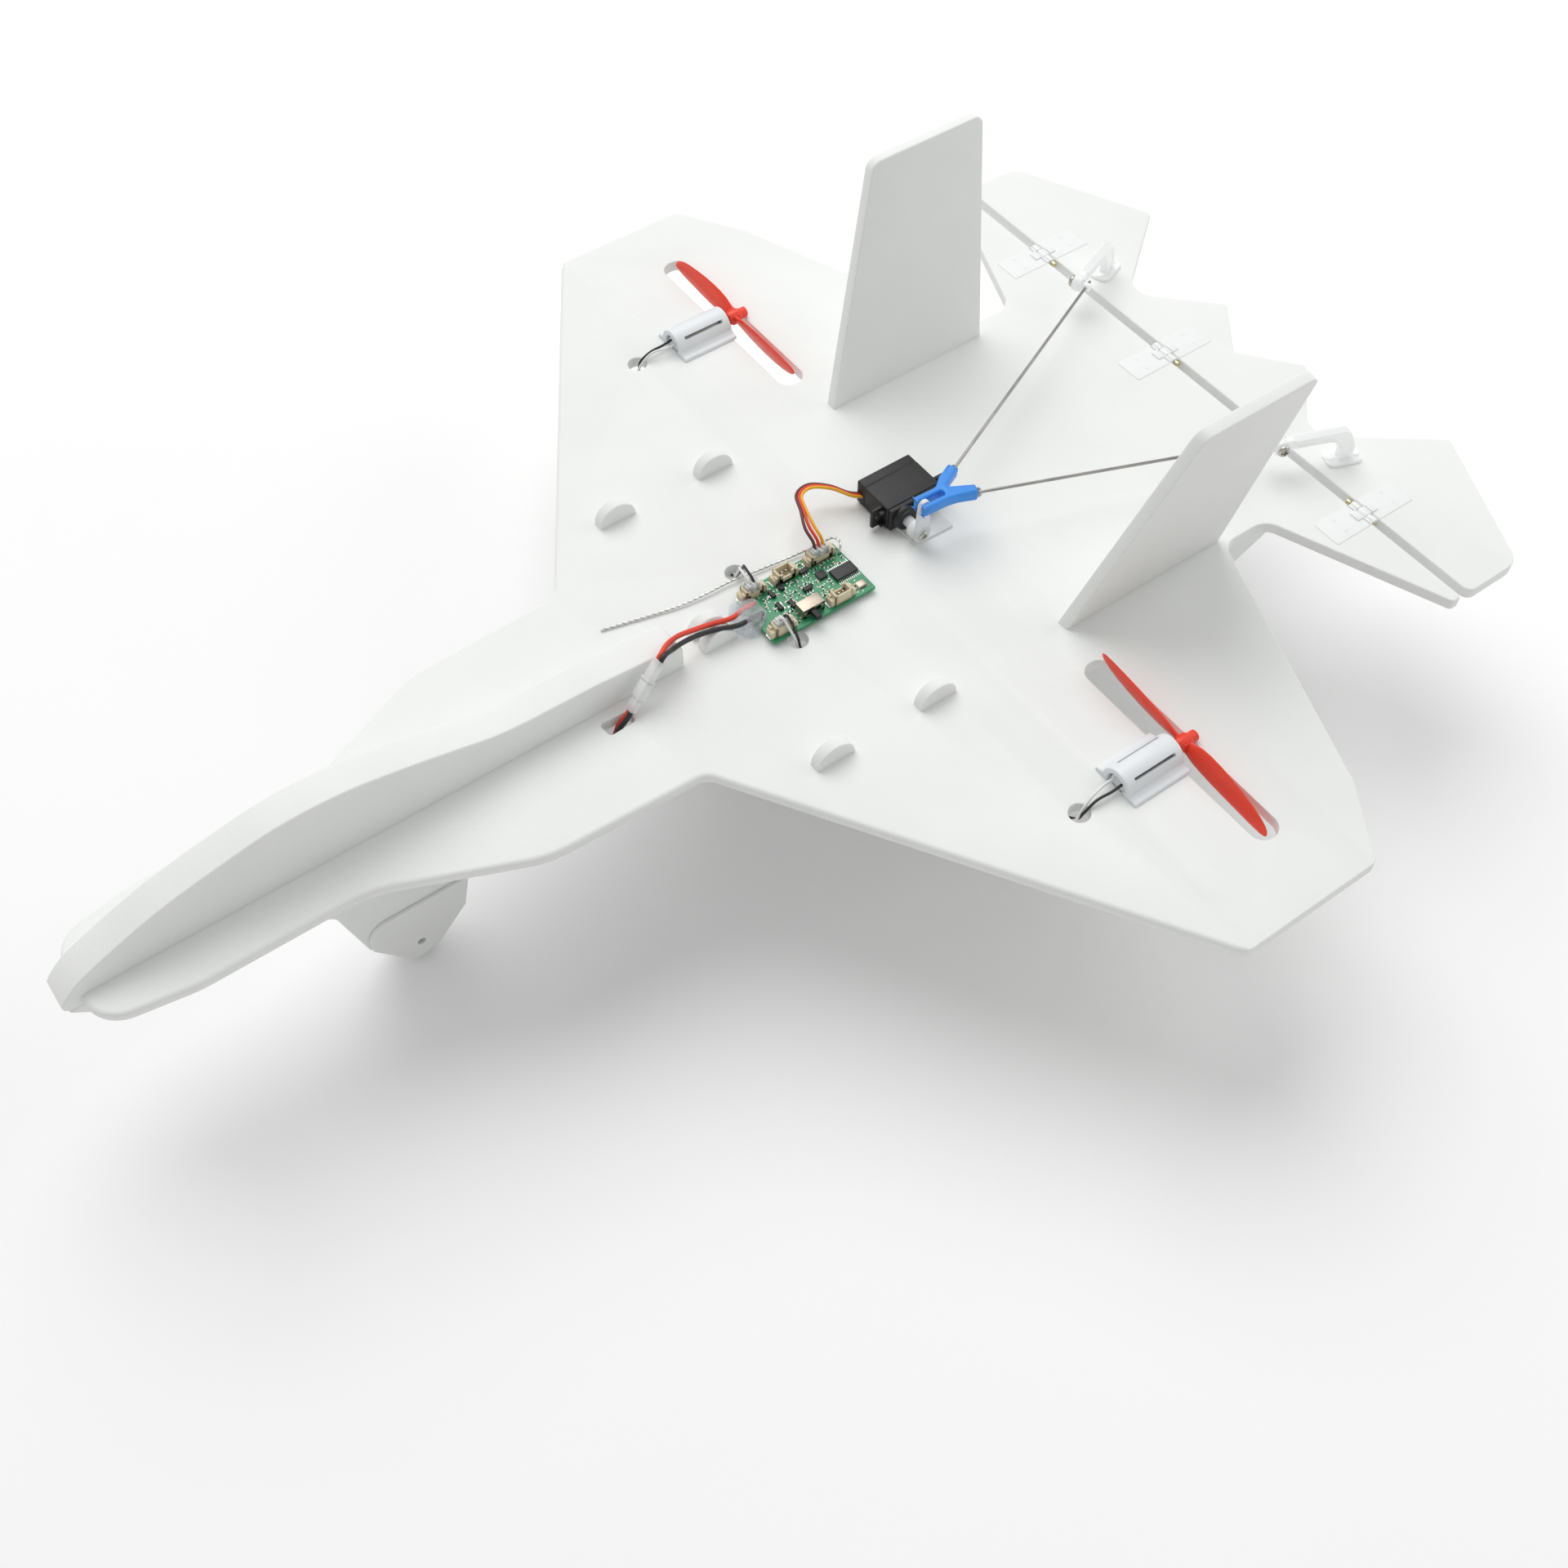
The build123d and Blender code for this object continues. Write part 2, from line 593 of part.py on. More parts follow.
def servo_case():
    """Micro servo lying on its side, output towards port."""
    x0, x1, y0, y1 = SERVO
    case = block(x0, x1, y0, y1, SERVO_Z0, SERVO_Z0 + SERVO_H)
    case = fillet(case.edges().filter_by(Axis.Y), 0.5)
    for end, sign in ((y0, -1), (y1, 1)):
        lug = block(x1 - 3.4, x1 - 2.4, min(end, end + sign * 4), max(end, end + sign * 4),
                    SERVO_Z0 + 0.6, SERVO_Z0 + 7.8)
        case += lug - rod_x(x1 - 6, x1, end + sign * 2.1, ARM_Z, 0.9)
    case -= rod_x(x1 - 6, x1 + 1, ARM_Y, ARM_Z, 2.0)
    return case


def servo_lid():
    """Gear cover with the output boss."""
    x0, x1, y0, y1 = SERVO
    lid = block(x1, x1 + 1.4, y0, y1, SERVO_Z0 + 0.2, SERVO_Z0 + SERVO_H - 0.2)
    lid += rod_x(x1, x1 + 4.0, ARM_Y, ARM_Z, 4.0)
    lid += block(x1, x1 + 4.0, ARM_Y, ARM_Y + 5.6, ARM_Z - 2.6, ARM_Z + 2.6)
    lid -= rod_x(x1 - 1, x1 + 6, ARM_Y, ARM_Z, 1.9)
    return lid


def servo_output():
    """Output shaft that turns inside the lid."""
    return rod_x(SERVO[1] - 5.5, OUTPUT_END, ARM_Y, ARM_Z, 1.8)


def servo_arm():
    """Single arm standing up from the output shaft."""
    hub = rod_x(ARM_X - 3.6, ARM_X + 1.0, ARM_Y, ARM_Z, 3.1)
    beam = block(ARM_X - 0.8, ARM_X + 0.8, ARM_Y - 1.9, ARM_Y + 1.9, ARM_Z, ARM_Z + ARM_LEN)
    beam += rod_x(ARM_X - 0.8, ARM_X + 0.8, ARM_Y, ARM_Z + ARM_LEN, 1.9)
    arm = hub + beam
    arm -= rod_x(ARM_X - 5, OUTPUT_END, ARM_Y, ARM_Z, 1.8)
    arm -= rod_x(ARM_X - 3, ARM_X + 3, ARM_Y, ARM_Z, 0.55)
    arm -= rod_x(ARM_X - 3, ARM_X + 3, ARM_Y, ARM_Z + ARM_LEN, 0.75)
    return arm


def arm_screw():
    head = rod_x(ARM_X + 1.0, ARM_X + 1.9, ARM_Y, ARM_Z, 1.6)
    head = fillet(head.edges().sort_by(Axis.X)[-1], 0.45)
    head -= block(ARM_X + 1.5, ARM_X + 3, ARM_Y - 1.0, ARM_Y + 1.0, ARM_Z - 0.16, ARM_Z + 0.16)
    head -= block(ARM_X + 1.5, ARM_X + 3, ARM_Y - 0.16, ARM_Y + 0.16, ARM_Z - 1.0, ARM_Z + 1.0)
    head += rod_x(OUTPUT_END, ARM_X + 1.0, ARM_Y, ARM_Z, 0.55)
    return head


LINK_Z = ARM_Z + ARM_LEN
LINK_END_Y = ARM_Y + 17.0


def rod_path(sign):
    """Start and end of one pushrod, from the fork link to the horn."""
    start = Vector(ARM_X - 1.6 + sign * 5.7, LINK_END_Y, LINK_Z - 1.4)
    end = Vector(sign * ROD_END[0], ROD_END[1], ROD_END[2])
    return start, end


def fork_link():
    """Y-shaped link: two cheeks around the arm and one socket for each rod."""
    cheeks = block(ARM_X - 2.9, ARM_X - 1.1, ARM_Y - 2.2, ARM_Y + 8.6, LINK_Z - 1.9, LINK_Z + 1.9)
    cheeks += block(ARM_X + 1.1, ARM_X + 2.9, ARM_Y - 2.2, ARM_Y + 8.6, LINK_Z - 1.9, LINK_Z + 1.9)
    cheeks = fillet(cheeks.edges().filter_by(Axis.X), 1.4)
    bridge = block(ARM_X - 2.9, ARM_X + 2.9, ARM_Y + 6.6, ARM_Y + 11.5, LINK_Z - 1.9, LINK_Z + 1.9)
    link = cheeks + bridge
    link += rod_x(ARM_X - 1.1, ARM_X + 1.1, ARM_Y, LINK_Z, 0.7)
    for sign in (-1, 1):
        start, end = rod_path(sign)
        along = (end - start).normalized()
        root = start - along * 10.5
        link += Plane(origin=root, z_dir=along) * Pos(0, 0, 5.25) * Box(3.6, 3.6, 10.5)
    for sign in (-1, 1):
        start, end = rod_path(sign)
        along = (end - start).normalized()
        link -= Plane(origin=start - along * 4.5, z_dir=along) * Pos(0, 0, 5) * Cylinder(ROD_R, 10)
    return link


def pushrod(sign):
    start, end = rod_path(sign)
    along = (end - start).normalized()
    first = start - along * 4.5
    last = end + along * 3.0
    length = (last - first).length
    return Plane(origin=first, z_dir=along) * Pos(0, 0, length / 2) * Cylinder(ROD_R, length)


def rod_collars():
    """Steel ferrules where the rods leave the fork link."""
    group = []
    for sign in (-1, 1):
        start, end = rod_path(sign)
        along = (end - start).normalized()
        ring = Plane(origin=start, z_dir=along) * Pos(0, 0, 0.7) * Cylinder(1.25, 1.4)
        ring -= Plane(origin=start, z_dir=along) * Cylinder(ROD_R, 10)
        group.append(ring)
    return Compound(children=group)


def across_horn(sign=1):
    """Unit direction across one horn, from its rod outwards."""
    turn = math.radians(HORN_TURN)
    return Vector(sign * math.cos(turn), -math.sin(turn), 0)


def rod_stop(sign):
    """Swivel drilled for the rod, its barrel through the horn and its clamping screw outside."""
    start, end = rod_path(sign)
    along = (end - start).normalized()
    frame = Plane(origin=end, x_dir=(0, 0, 1), z_dir=across_horn(sign))
    outer_face = STOP_REACH + HORN_T / 2
    collar = Pos(0, 0, -0.2) * Cylinder(1.7, 2.4)
    barrel = Pos(0, 0, outer_face / 2 + 0.3) * Cylinder(STOP_R, outer_face + 0.6)
    head = Cylinder(2.0, 1.3)
    head = fillet(head.edges().sort_by(Axis.Z)[-1], 0.45)
    head -= Pos(0, 0, 0.5) * Box(2.6, 0.4, 0.8)
    head -= Pos(0, 0, 0.5) * Box(0.4, 2.6, 0.8)
    body = frame * (collar + barrel + Pos(0, 0, outer_face + 0.4 + 0.65) * head)
    return body - Plane(origin=end, z_dir=along) * Cylinder(ROD_R, 20)


def control_horn():
    """Goose-neck horn on the port half of the elevator, turned to face its rod."""
    frame = Plane(origin=(HORN_BASE[0], HORN_BASE[1], BOARD_T), x_dir=across_horn(), z_dir=(0, 0, 1))
    middle = Vector(*ROD_END) + across_horn() * STOP_REACH
    pivot = frame.to_local_coords(middle)
    base = extrude(RectangleRounded(7.2, 12.0, 2.4), 1.1)
    y, z = pivot.Y, pivot.Z
    outline = rounded(
        [(2.6, 0.5), (2.6, 5.6), (-0.8, z + 2.8), (y, z + 2.6), (y - 2.6, z + 2.6), (y - 2.6, z - 2.6),
         (y + 2.4, z - 2.6), (y + 3.6, z - 0.9), (-5.4, z - 0.9), (-2.2, 4.6), (-2.2, 0.5)],
        [0, 2.5, 3.5, 0, 2.5, 2.5, 1.2, 1.2, 3, 2.5, 0],
    )
    neck_plane = Plane(origin=(pivot.X - HORN_T / 2, 0, 0), x_dir=(0, 1, 0), z_dir=(1, 0, 0))
    horn = frame * (base + extrude(neck_plane * outline, HORN_T))
    horn -= Plane(origin=middle, z_dir=across_horn()) * Cylinder(STOP_R + 0.65, 12)
    for dy in HORN_SCREWS:
        horn -= frame * Pos(0, dy, 0) * Cylinder(0.55, 8)
    return horn


def battery_parts():
    """Flat cell beside the belly keel with its fastening pad."""
    cell = block(KEEL_T / 2 + 0.8, KEEL_T / 2 + 7.6, -150, CELL_REAR_Y, -18.0, -1.0)
    cell = fillet(cell.edges().filter_by(Axis.Y), 1.2)
    pad = block(KEEL_T / 2, KEEL_T / 2 + 0.8, -146, -116, -15.5, -3.5)
    return cell, pad


CONNECTOR_TOP = Vector(9.6, -81.2, 15.2)
CONNECTOR_FOOT = Vector(11.6, -94.4, 9.6)


def battery_connector():
    """Inline pair: slim plug above, wider socket below."""
    along = (CONNECTOR_FOOT - CONNECTOR_TOP).normalized()
    length = (CONNECTOR_FOOT - CONNECTOR_TOP).length
    frame = Plane(origin=CONNECTOR_TOP, x_dir=(1, 0, 0.3), z_dir=along)
    plug = frame * Pos(0, 0, length * 0.17) * Box(4.2, 3.0, length * 0.34)
    socket = frame * Pos(0, 0, length * 0.67) * Box(5.0, 3.8, length * 0.66)
    return plug, socket, frame, length


def battery_leads():
    strands = []
    plug, socket, frame, length = battery_connector()
    for offset in (-1, 1):
        top = frame * Pos(offset * 1.1, 0, 0)
        foot = frame * Pos(offset * 1.1, 0, length)
        a = top.position
        b = foot.position
        down = frame.z_dir
        strands.append(wire([
            (2.2 + offset * 1.7, -47.6, PCB_TOP + 1.2), (3.4 + offset * 1.4, -56.0, 13.4),
            (6.4 + offset * 1.2, -68.0, 18.8), a - down * 4.0, a,
        ], 0.65))
        strands.append(wire([
            b, b + down * 3.6, (12.4 + offset * 0.9, -100.4, 4.0),
            (12.0 + offset * 0.9, -101.2, -6.0), (9.6 + offset * 0.9, CELL_REAR_Y + 4.0, -9.5),
            (9.6 + offset * 0.9, CELL_REAR_Y, -9.5),
        ], 0.65))
    return strands


def glue_blob():
    """Hot glue over the battery joint at the front of the receiver."""
    blob = scale(Sphere(1), by=(6.2, 5.4, 3.6))
    blob = Pos(1.8, -47.4, PCB_TOP + 0.4) * blob
    blob &= block(-10, 16, -60, -40, BOARD_T, 20)
    blob -= receiver_board()
    blob -= receiver_tape()
    for x, y, poles, face in MOTOR_SOCKETS:
        blob -= block(x - 1.9, x + 1.9, y - 4.6, y + 4.6, PCB_TOP, 20)
    bodies, legs = board_parts()
    for x, y in transistor_spots():
        blob -= block(x - 1.5, x + 1.5, y - 1.7, y + 1.7, PCB_TOP, 20)
    for strand in battery_leads():
        blob -= strand
    return blob


def servo_tape():
    x0, x1, y0, y1 = SERVO
    return block(x0 + 1.0, x1 + 10.0, y0 + 2.0, y1 - 2.4, BOARD_T, SERVO_Z0)


def servo_leads():
    strands = []
    x, y, poles, face = SERVO_SOCKET
    for i in range(3):
        shift = (i - 1) * 1.0
        py = y + (i - 1) * 1.5
        strands.append(wire([
            (SERVO[0] + 3.0 + shift, SERVO[2], SERVO_Z0 + 3.0),
            (SERVO[0] + 3.0 + shift, SERVO[2] - 5.0, SERVO_Z0 + 3.0),
            (-18.0 + shift, -7.0, 13.0), (-10.6, py, 17.0),
            (x, py, PCB_TOP + 7.4), (x, py, PCB_TOP + 4.2),
        ], 0.38))
    return strands


def save(name, shape):
    export_step(shape, f"parts/{name}.step")


def group(items):
    return Compound(children=list(items))


os.makedirs("parts", exist_ok=True)

save("main_board", main_board())
save("elevator", elevator())
save("nose_keel", nose_keel())
save("belly_keel", belly_keel())
save("skid_plates", skid_plates())
save("wing_spar", rod_x(-156, 156, 0, BOARD_T / 2, 1.0))
PORT_PLATE = nacelle_plate()
save("port_nacelle_plate", PORT_PLATE)
save("starboard_nacelle_plate", opposite(PORT_PLATE))
PORT_FIN = fin_solid()
save("port_fin", PORT_FIN)
save("starboard_fin", opposite(PORT_FIN))

PORT_MOUNT = motor_mount()
save("port_motor_mount", PORT_MOUNT)
save("starboard_motor_mount", opposite(PORT_MOUNT))
PORT_CAN = motor_can()
save("port_motor_can", PORT_CAN)
save("starboard_motor_can", opposite(PORT_CAN))
save("port_motor_shaft", motor_shaft())
save("starboard_motor_shaft", opposite(motor_shaft()))
PROP = starboard_propeller()
save("port_propeller", Pos(MOTOR_X, 0, MOTOR_Z) * Rot(0, 4, 0) * opposite(PROP))
save("starboard_propeller", Pos(-MOTOR_X, 0, MOTOR_Z) * Rot(0, 1, 0) * PROP)
LEADS = motor_leads()
save("motor_leads_white", group(LEADS[0::2]))
save("motor_leads_black", group(LEADS[1::2]))

save("receiver_board", receiver_board())
save("receiver_tape", receiver_tape())
save("chip_bodies", chip_bodies())
save("metal_pins", group([chip_legs()] + bare_pins()))
save("passive_parts", passive_parts())
save("crystal_can", crystal_can())
save("wire_sockets", sockets())
save("wire_plugs", plugs())
save("switch_can", switch_can())
save("switch_lever", switch_lever())
save("antenna_wire", antenna_wire())
save("glue_blob", glue_blob())

CELL, PAD = battery_parts()
save("battery_cell", CELL)
save("battery_pad", PAD)
PLUG, SOCKET, FRAME, LENGTH = battery_connector()
save("battery_plug", PLUG)
save("battery_socket", SOCKET)
STRANDS = battery_leads()
save("battery_lead_red", group(STRANDS[0:2]))
save("battery_lead_black", group(STRANDS[2:4]))

save("servo_case", servo_case())
save("servo_lid", servo_lid())
save("servo_tape", servo_tape())
save("servo_output", servo_output())
save("servo_arm", servo_arm())
save("servo_arm_screw", arm_screw())
SERVO_WIRES = servo_leads()
save("servo_lead_brown", SERVO_WIRES[0])
save("servo_lead_red", SERVO_WIRES[1])
save("servo_lead_orange", SERVO_WIRES[2])

save("fork_link", fork_link())
save("port_pushrod", pushrod(1))
save("starboard_pushrod", pushrod(-1))
save("rod_collars", rod_collars())
save("rod_stops", group([rod_stop(1), rod_stop(-1)]))
PORT_HORN = control_horn()
save("port_horn", PORT_HORN)
save("starboard_horn", opposite(PORT_HORN))

save("hinge_leaves_fixed", hinge_half(-1))
save("hinge_leaves_moving", hinge_half(1))
save("hinge_pins", hinge_pins())
save("hinge_screws_fixed", leaf_screws(-1))
save("hinge_screws_moving", leaf_screws(1))
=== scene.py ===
import bmesh
import bpy
import math
import random
from mathutils import Matrix, Vector
from mathutils import noise as field_noise
from mathutils.geometry import tessellate_polygon


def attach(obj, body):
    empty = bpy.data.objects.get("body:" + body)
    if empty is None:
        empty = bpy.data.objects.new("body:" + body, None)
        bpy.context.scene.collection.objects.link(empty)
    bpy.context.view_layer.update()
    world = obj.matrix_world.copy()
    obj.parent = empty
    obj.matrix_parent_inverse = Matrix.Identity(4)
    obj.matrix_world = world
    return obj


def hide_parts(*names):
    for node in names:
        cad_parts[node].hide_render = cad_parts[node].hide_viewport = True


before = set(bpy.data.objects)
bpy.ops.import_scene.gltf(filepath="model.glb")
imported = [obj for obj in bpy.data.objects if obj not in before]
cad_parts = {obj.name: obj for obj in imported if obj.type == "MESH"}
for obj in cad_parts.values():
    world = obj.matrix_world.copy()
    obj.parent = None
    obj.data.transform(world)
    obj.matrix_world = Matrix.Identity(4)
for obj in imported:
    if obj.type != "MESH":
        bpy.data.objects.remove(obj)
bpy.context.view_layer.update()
MM = 0.001
random.seed(7)

# ---------------------------------------------------------------- materials


def node_tree(name):
    mat = bpy.data.materials.new(name)
    mat.use_nodes = True
    tree = mat.node_tree
    return mat, tree, tree.nodes["Principled BSDF"]


def feed(tree, node, values):
    """Fill the inputs of a node: a socket is linked, anything else becomes the input's own value."""
    for key, value in values.items():
        if isinstance(value, bpy.types.NodeSocket):
            tree.links.new(value, node.inputs[key])
        else:
            node.inputs[key].default_value = value


def add_node(tree, kind, values, **settings):
    node = tree.nodes.new("ShaderNode" + kind)
    for key, value in settings.items():
        setattr(node, key, value)
    feed(tree, node, values)
    return node


def noise(tree, coords, scale, detail=4.0, rough=0.55):
    values = {"Scale": scale, "Detail": detail, "Roughness": rough, "Vector": coords}
    return add_node(tree, "TexNoise", values).outputs["Fac"]


def ramp(tree, fac, stops):
    node = add_node(tree, "ValToRGB", {"Fac": fac})
    elements = node.color_ramp.elements
    while len(elements) < len(stops):
        elements.new(0.5)
    for element, (position, colour) in zip(elements, stops):
        element.position = position
        element.color = (*colour, 1.0)
    return node.outputs["Color"]


def spread(tree, fac, low, high):
    return add_node(tree, "MapRange", {"To Min": low, "To Max": high, "Value": fac}).outputs["Result"]


def bump(tree, height, distance, strength=1.0, normal=None):
    values = {"Distance": distance, "Strength": strength, "Height": height}
    if normal is not None:
        values["Normal"] = normal
    return add_node(tree, "Bump", values).outputs["Normal"]


def shades(colour, amount):
    dark = tuple(max(0.0, c * (1 - amount)) for c in colour)
    light = tuple(min(1.0, c * (1 + amount)) for c in colour)
    return dark, light


def soften(tree, bsdf, weight, reach):
    """Light enters the surface and comes out again within reach (metres)."""
    feed(tree, bsdf, {"Subsurface Weight": weight, "Subsurface Radius": (reach, reach, reach),
                      "Subsurface Scale": 1.0})


def show_mix(tree, share, first, second):
    """Send two mixed shaders to the output; share is the part of the second."""
    blend = add_node(tree, "MixShader", {0: share, 1: first.outputs[0], 2: second.outputs[0]})
    tree.links.new(blend.outputs[0], tree.nodes["Material Output"].inputs["Surface"])


def surface(name, colour, rough, grain, depth, vary, metal=0.0, soft=0.0, clear=0.0, painted_glow=0.0):
    """Procedural finish: colour mottling, roughness variation and a fine bump (depth in mm); painted_glow
    adds emission as painted light.
    """
    mat, tree, bsdf = node_tree(name)
    coords = add_node(tree, "TexCoord", {}).outputs["Object"]
    broad = noise(tree, coords, grain * 0.12, 5.0)
    fine = noise(tree, coords, grain, 3.0, 0.6)
    dark, light = shades(colour, vary)
    feed(tree, bsdf, {
        "Base Color": ramp(tree, broad, [(0.3, dark), (0.7, light)]),
        "Roughness": spread(tree, fine, max(0.02, rough - 0.08), min(1.0, rough + 0.08)),
        "Normal": bump(tree, fine, depth * MM),
        "Metallic": metal,
    })
    if soft:
        soften(tree, bsdf, soft, 0.002)
    # painted light: emission makes the part shine brighter than the lamps light it
    if painted_glow:
        feed(tree, bsdf, {"Emission Color": (*colour, 1.0), "Emission Strength": painted_glow})
    if clear:
        show_mix(tree, spread(tree, broad, clear * 0.8, clear * 1.2), bsdf,
                 add_node(tree, "BsdfTransparent", {}))
    return mat


def foam(name, colour, saw=False, crease=False):
    """Pressed bead foam: faint cells, slight mottling, optional saw marks, optional spar ridge."""
    mat, tree, bsdf = node_tree(name)
    coords = add_node(tree, "TexCoord", {}).outputs["Object"]
    cells = add_node(tree, "TexVoronoi", {"Scale": 420.0, "Vector": coords})
    broad = noise(tree, coords, 26.0, 4.0)
    fine = noise(tree, coords, 1500.0, 3.0, 0.6)
    dark, light = shades(colour, 0.02)
    normal = bump(tree, cells.outputs["Distance"], 0.03 * MM, 0.5)
    normal = bump(tree, fine, 0.03 * MM, 0.7, normal)
    normal = bump(tree, broad, 0.5 * MM, 0.25, normal)
    if saw:
        values = {"Scale": 130.0, "Distortion": 2.5, "Detail": 3.0, "Detail Scale": 2.0, "Vector": coords}
        stripes = add_node(tree, "TexWave", values, bands_direction="Y")
        normal = bump(tree, stripes.outputs["Fac"], 0.02 * MM, 0.6, normal)
    if crease:
        normal = bump(tree, spar_crease(tree, coords), 0.22 * MM, 1.0, normal)
    feed(tree, bsdf, {
        "Base Color": ramp(tree, broad, [(0.3, dark), (0.7, light)]),
        "Roughness": spread(tree, fine, 0.52, 0.74),
        "Normal": normal,
        "Specular IOR Level": 0.3,
    })
    soften(tree, bsdf, 0.12, 0.003)
    return mat


def spar_crease(tree, coords):
    """Soft ridge above the buried wing spar (limits in metres)."""
    split = add_node(tree, "SeparateXYZ", {0: coords})
    masks = []
    for axis, inner, outer in (("Y", 0.0004, 0.0055), ("X", 0.150, 0.158)):
        size = add_node(tree, "Math", {0: split.outputs[axis]}, operation="ABSOLUTE")
        values = {"From Min": inner, "From Max": outer, "To Min": 1.0, "To Max": 0.0,
                  "Value": size.outputs[0]}
        masks.append(add_node(tree, "MapRange", values, interpolation_type="SMOOTHSTEP").outputs["Result"])
    return add_node(tree, "Math", {0: masks[0], 1: masks[1]}, operation="MULTIPLY").outputs[0]


def laminate(name):
    """Green circuit board with tracks and copper areas under the solder resist."""
    mat, tree, bsdf = node_tree(name)
    coords = add_node(tree, "TexCoord", {}).outputs["Object"]
    tracks = add_node(tree, "TexVoronoi", {"Scale": 520.0, "Vector": coords}, distance="MANHATTAN",
                      feature="F2").outputs["Distance"]
    pour = add_node(tree, "TexVoronoi", {"Scale": 210.0, "Vector": coords},
                    distance="CHEBYCHEV").outputs["Distance"]
    # sockets 0, 6 and 7 of a colour mix are its share and its two colours
    mix = add_node(tree, "Mix", {
        0: ramp(tree, tracks, [(0.55, (0, 0, 0)), (0.62, (0.55, 0.55, 0.55))]),
        6: ramp(tree, pour, [(0.42, (0.014, 0.24, 0.095)), (0.5, (0.010, 0.175, 0.068))]),
        7: (0.03, 0.30, 0.125, 1),
    }, data_type="RGBA")
    feed(tree, bsdf, {
        "Base Color": mix.outputs[2],
        "Normal": bump(tree, tracks, 0.03 * MM, 0.4),
        "Roughness": spread(tree, noise(tree, coords, 700.0), 0.22, 0.38),
    })
    return mat


def glue(name):
    """Hot-melt glue: cloudy, glossy and half clear."""
    mat, tree, bsdf = node_tree(name)
    coords = add_node(tree, "TexCoord", {}).outputs["Object"]
    cloud = noise(tree, coords, 240.0, 5.0)
    feed(tree, bsdf, {
        "Base Color": ramp(tree, cloud, [(0.3, (0.80, 0.82, 0.84)), (0.7, (0.90, 0.92, 0.93))]),
        "Roughness": spread(tree, cloud, 0.12, 0.3),
        "Normal": bump(tree, cloud, 0.3 * MM, 0.6),
    })
    clear = add_node(tree, "BsdfTransparent", {"Color": (0.93, 0.96, 0.98, 1.0)})
    show_mix(tree, spread(tree, cloud, 0.14, 0.42), clear, bsdf)
    return mat


FOAM_WHITE = (0.855, 0.868, 0.85)
FOAM = foam("foam_white", FOAM_WHITE)
FOAM_BOARD = foam("foam_board", FOAM_WHITE, crease=True)
FOAM_SAWN = foam("foam_sawn", FOAM_WHITE, saw=True)
PLASTIC = surface("white_moulding", (0.80, 0.83, 0.85), 0.38, 600, 0.02, 0.02, soft=0.1)
NYLON = surface("clear_nylon", (0.94, 0.955, 0.95), 0.5, 700, 0.02, 0.015, soft=0.5, clear=0.34)
# horn and hinge-leaf nylon carry a small emission: painted light standing in for light shining through the
# translucent nylon
HORN_NYLON = surface("horn_nylon", (0.95, 0.96, 0.955), 0.38, 700, 0.02, 0.015, soft=0.6, clear=0.18,
                     painted_glow=0.12)
LEAF_NYLON = surface("leaf_nylon", (0.91, 0.925, 0.92), 0.42, 700, 0.02, 0.015, soft=0.3, clear=0.06,
                     painted_glow=0.05)
ARM_NYLON = surface("arm_nylon", (0.74, 0.76, 0.77), 0.36, 700, 0.02, 0.03, soft=0.2)
RED = surface("red_moulding", (0.92, 0.06, 0.026), 0.33, 500, 0.02, 0.05, soft=0.08)
BLUE = surface("blue_moulding", (0.035, 0.27, 0.80), 0.36, 500, 0.03, 0.05, soft=0.08)
BLACK = surface("black_moulding", (0.012, 0.012, 0.013), 0.55, 900, 0.04, 0.2)
RESIN = surface("chip_resin", (0.022, 0.022, 0.024), 0.5, 1800, 0.02, 0.25)
STEEL = surface("bright_steel", (0.56, 0.54, 0.50), 0.24, 900, 0.015, 0.12, metal=1.0)
ROD_STEEL = surface("rod_steel", (0.36, 0.35, 0.335), 0.34, 1200, 0.02, 0.15, metal=1.0)
BRASS = surface("pin_brass", (0.70, 0.60, 0.36), 0.22, 900, 0.015, 0.1, metal=1.0)
CAN = surface("motor_can", (0.40, 0.39, 0.37), 0.3, 900, 0.02, 0.15, metal=1.0)
TIN = surface("tinned_pad", (0.62, 0.62, 0.60), 0.3, 1500, 0.03, 0.1, metal=0.9)
SHIELD = surface("switch_shield", (0.40, 0.35, 0.285), 0.36, 900, 0.015, 0.08, metal=1.0)
IVORY = surface("ivory_nylon", (0.66, 0.58, 0.40), 0.46, 700, 0.03, 0.06, soft=0.1)
TAPE = surface("foam_tape", (0.74, 0.755, 0.74), 0.6, 1400, 0.06, 0.04, soft=0.2)
WIRE_RED = surface("wire_red", (0.78, 0.055, 0.025), 0.4, 600, 0.03, 0.08)
WIRE_BLACK = surface("wire_black", (0.022, 0.022, 0.024), 0.4, 600, 0.03, 0.2)
WIRE_WHITE = surface("wire_white", (0.83, 0.83, 0.83), 0.42, 600, 0.03, 0.03)
WIRE_ORANGE = surface("wire_orange", (0.86, 0.42, 0.02), 0.4, 600, 0.03, 0.06)
WIRE_BROWN = surface("wire_brown", (0.12, 0.035, 0.03), 0.4, 600, 0.03, 0.15)
BRAID = surface("braid_bright", (0.78, 0.78, 0.76), 0.3, 900, 0.02, 0.1, metal=0.85)
BRAID_DARK = surface("braid_dark", (0.38, 0.39, 0.36), 0.4, 900, 0.02, 0.15, metal=0.6)
CAP_TAN = surface("capacitor_tan", (0.42, 0.30, 0.18), 0.45, 1200, 0.03, 0.15)
PACK = surface("cell_film", (0.55, 0.57, 0.60), 0.25, 200, 0.12, 0.06, metal=0.3)
CARBON = surface("carbon_rod", (0.02, 0.02, 0.022), 0.3, 900, 0.03, 0.25)
BOARD_GREEN = laminate("board_green")
GLUE = glue("hot_glue")

# ---------------------------------------------------------------- mesh helpers


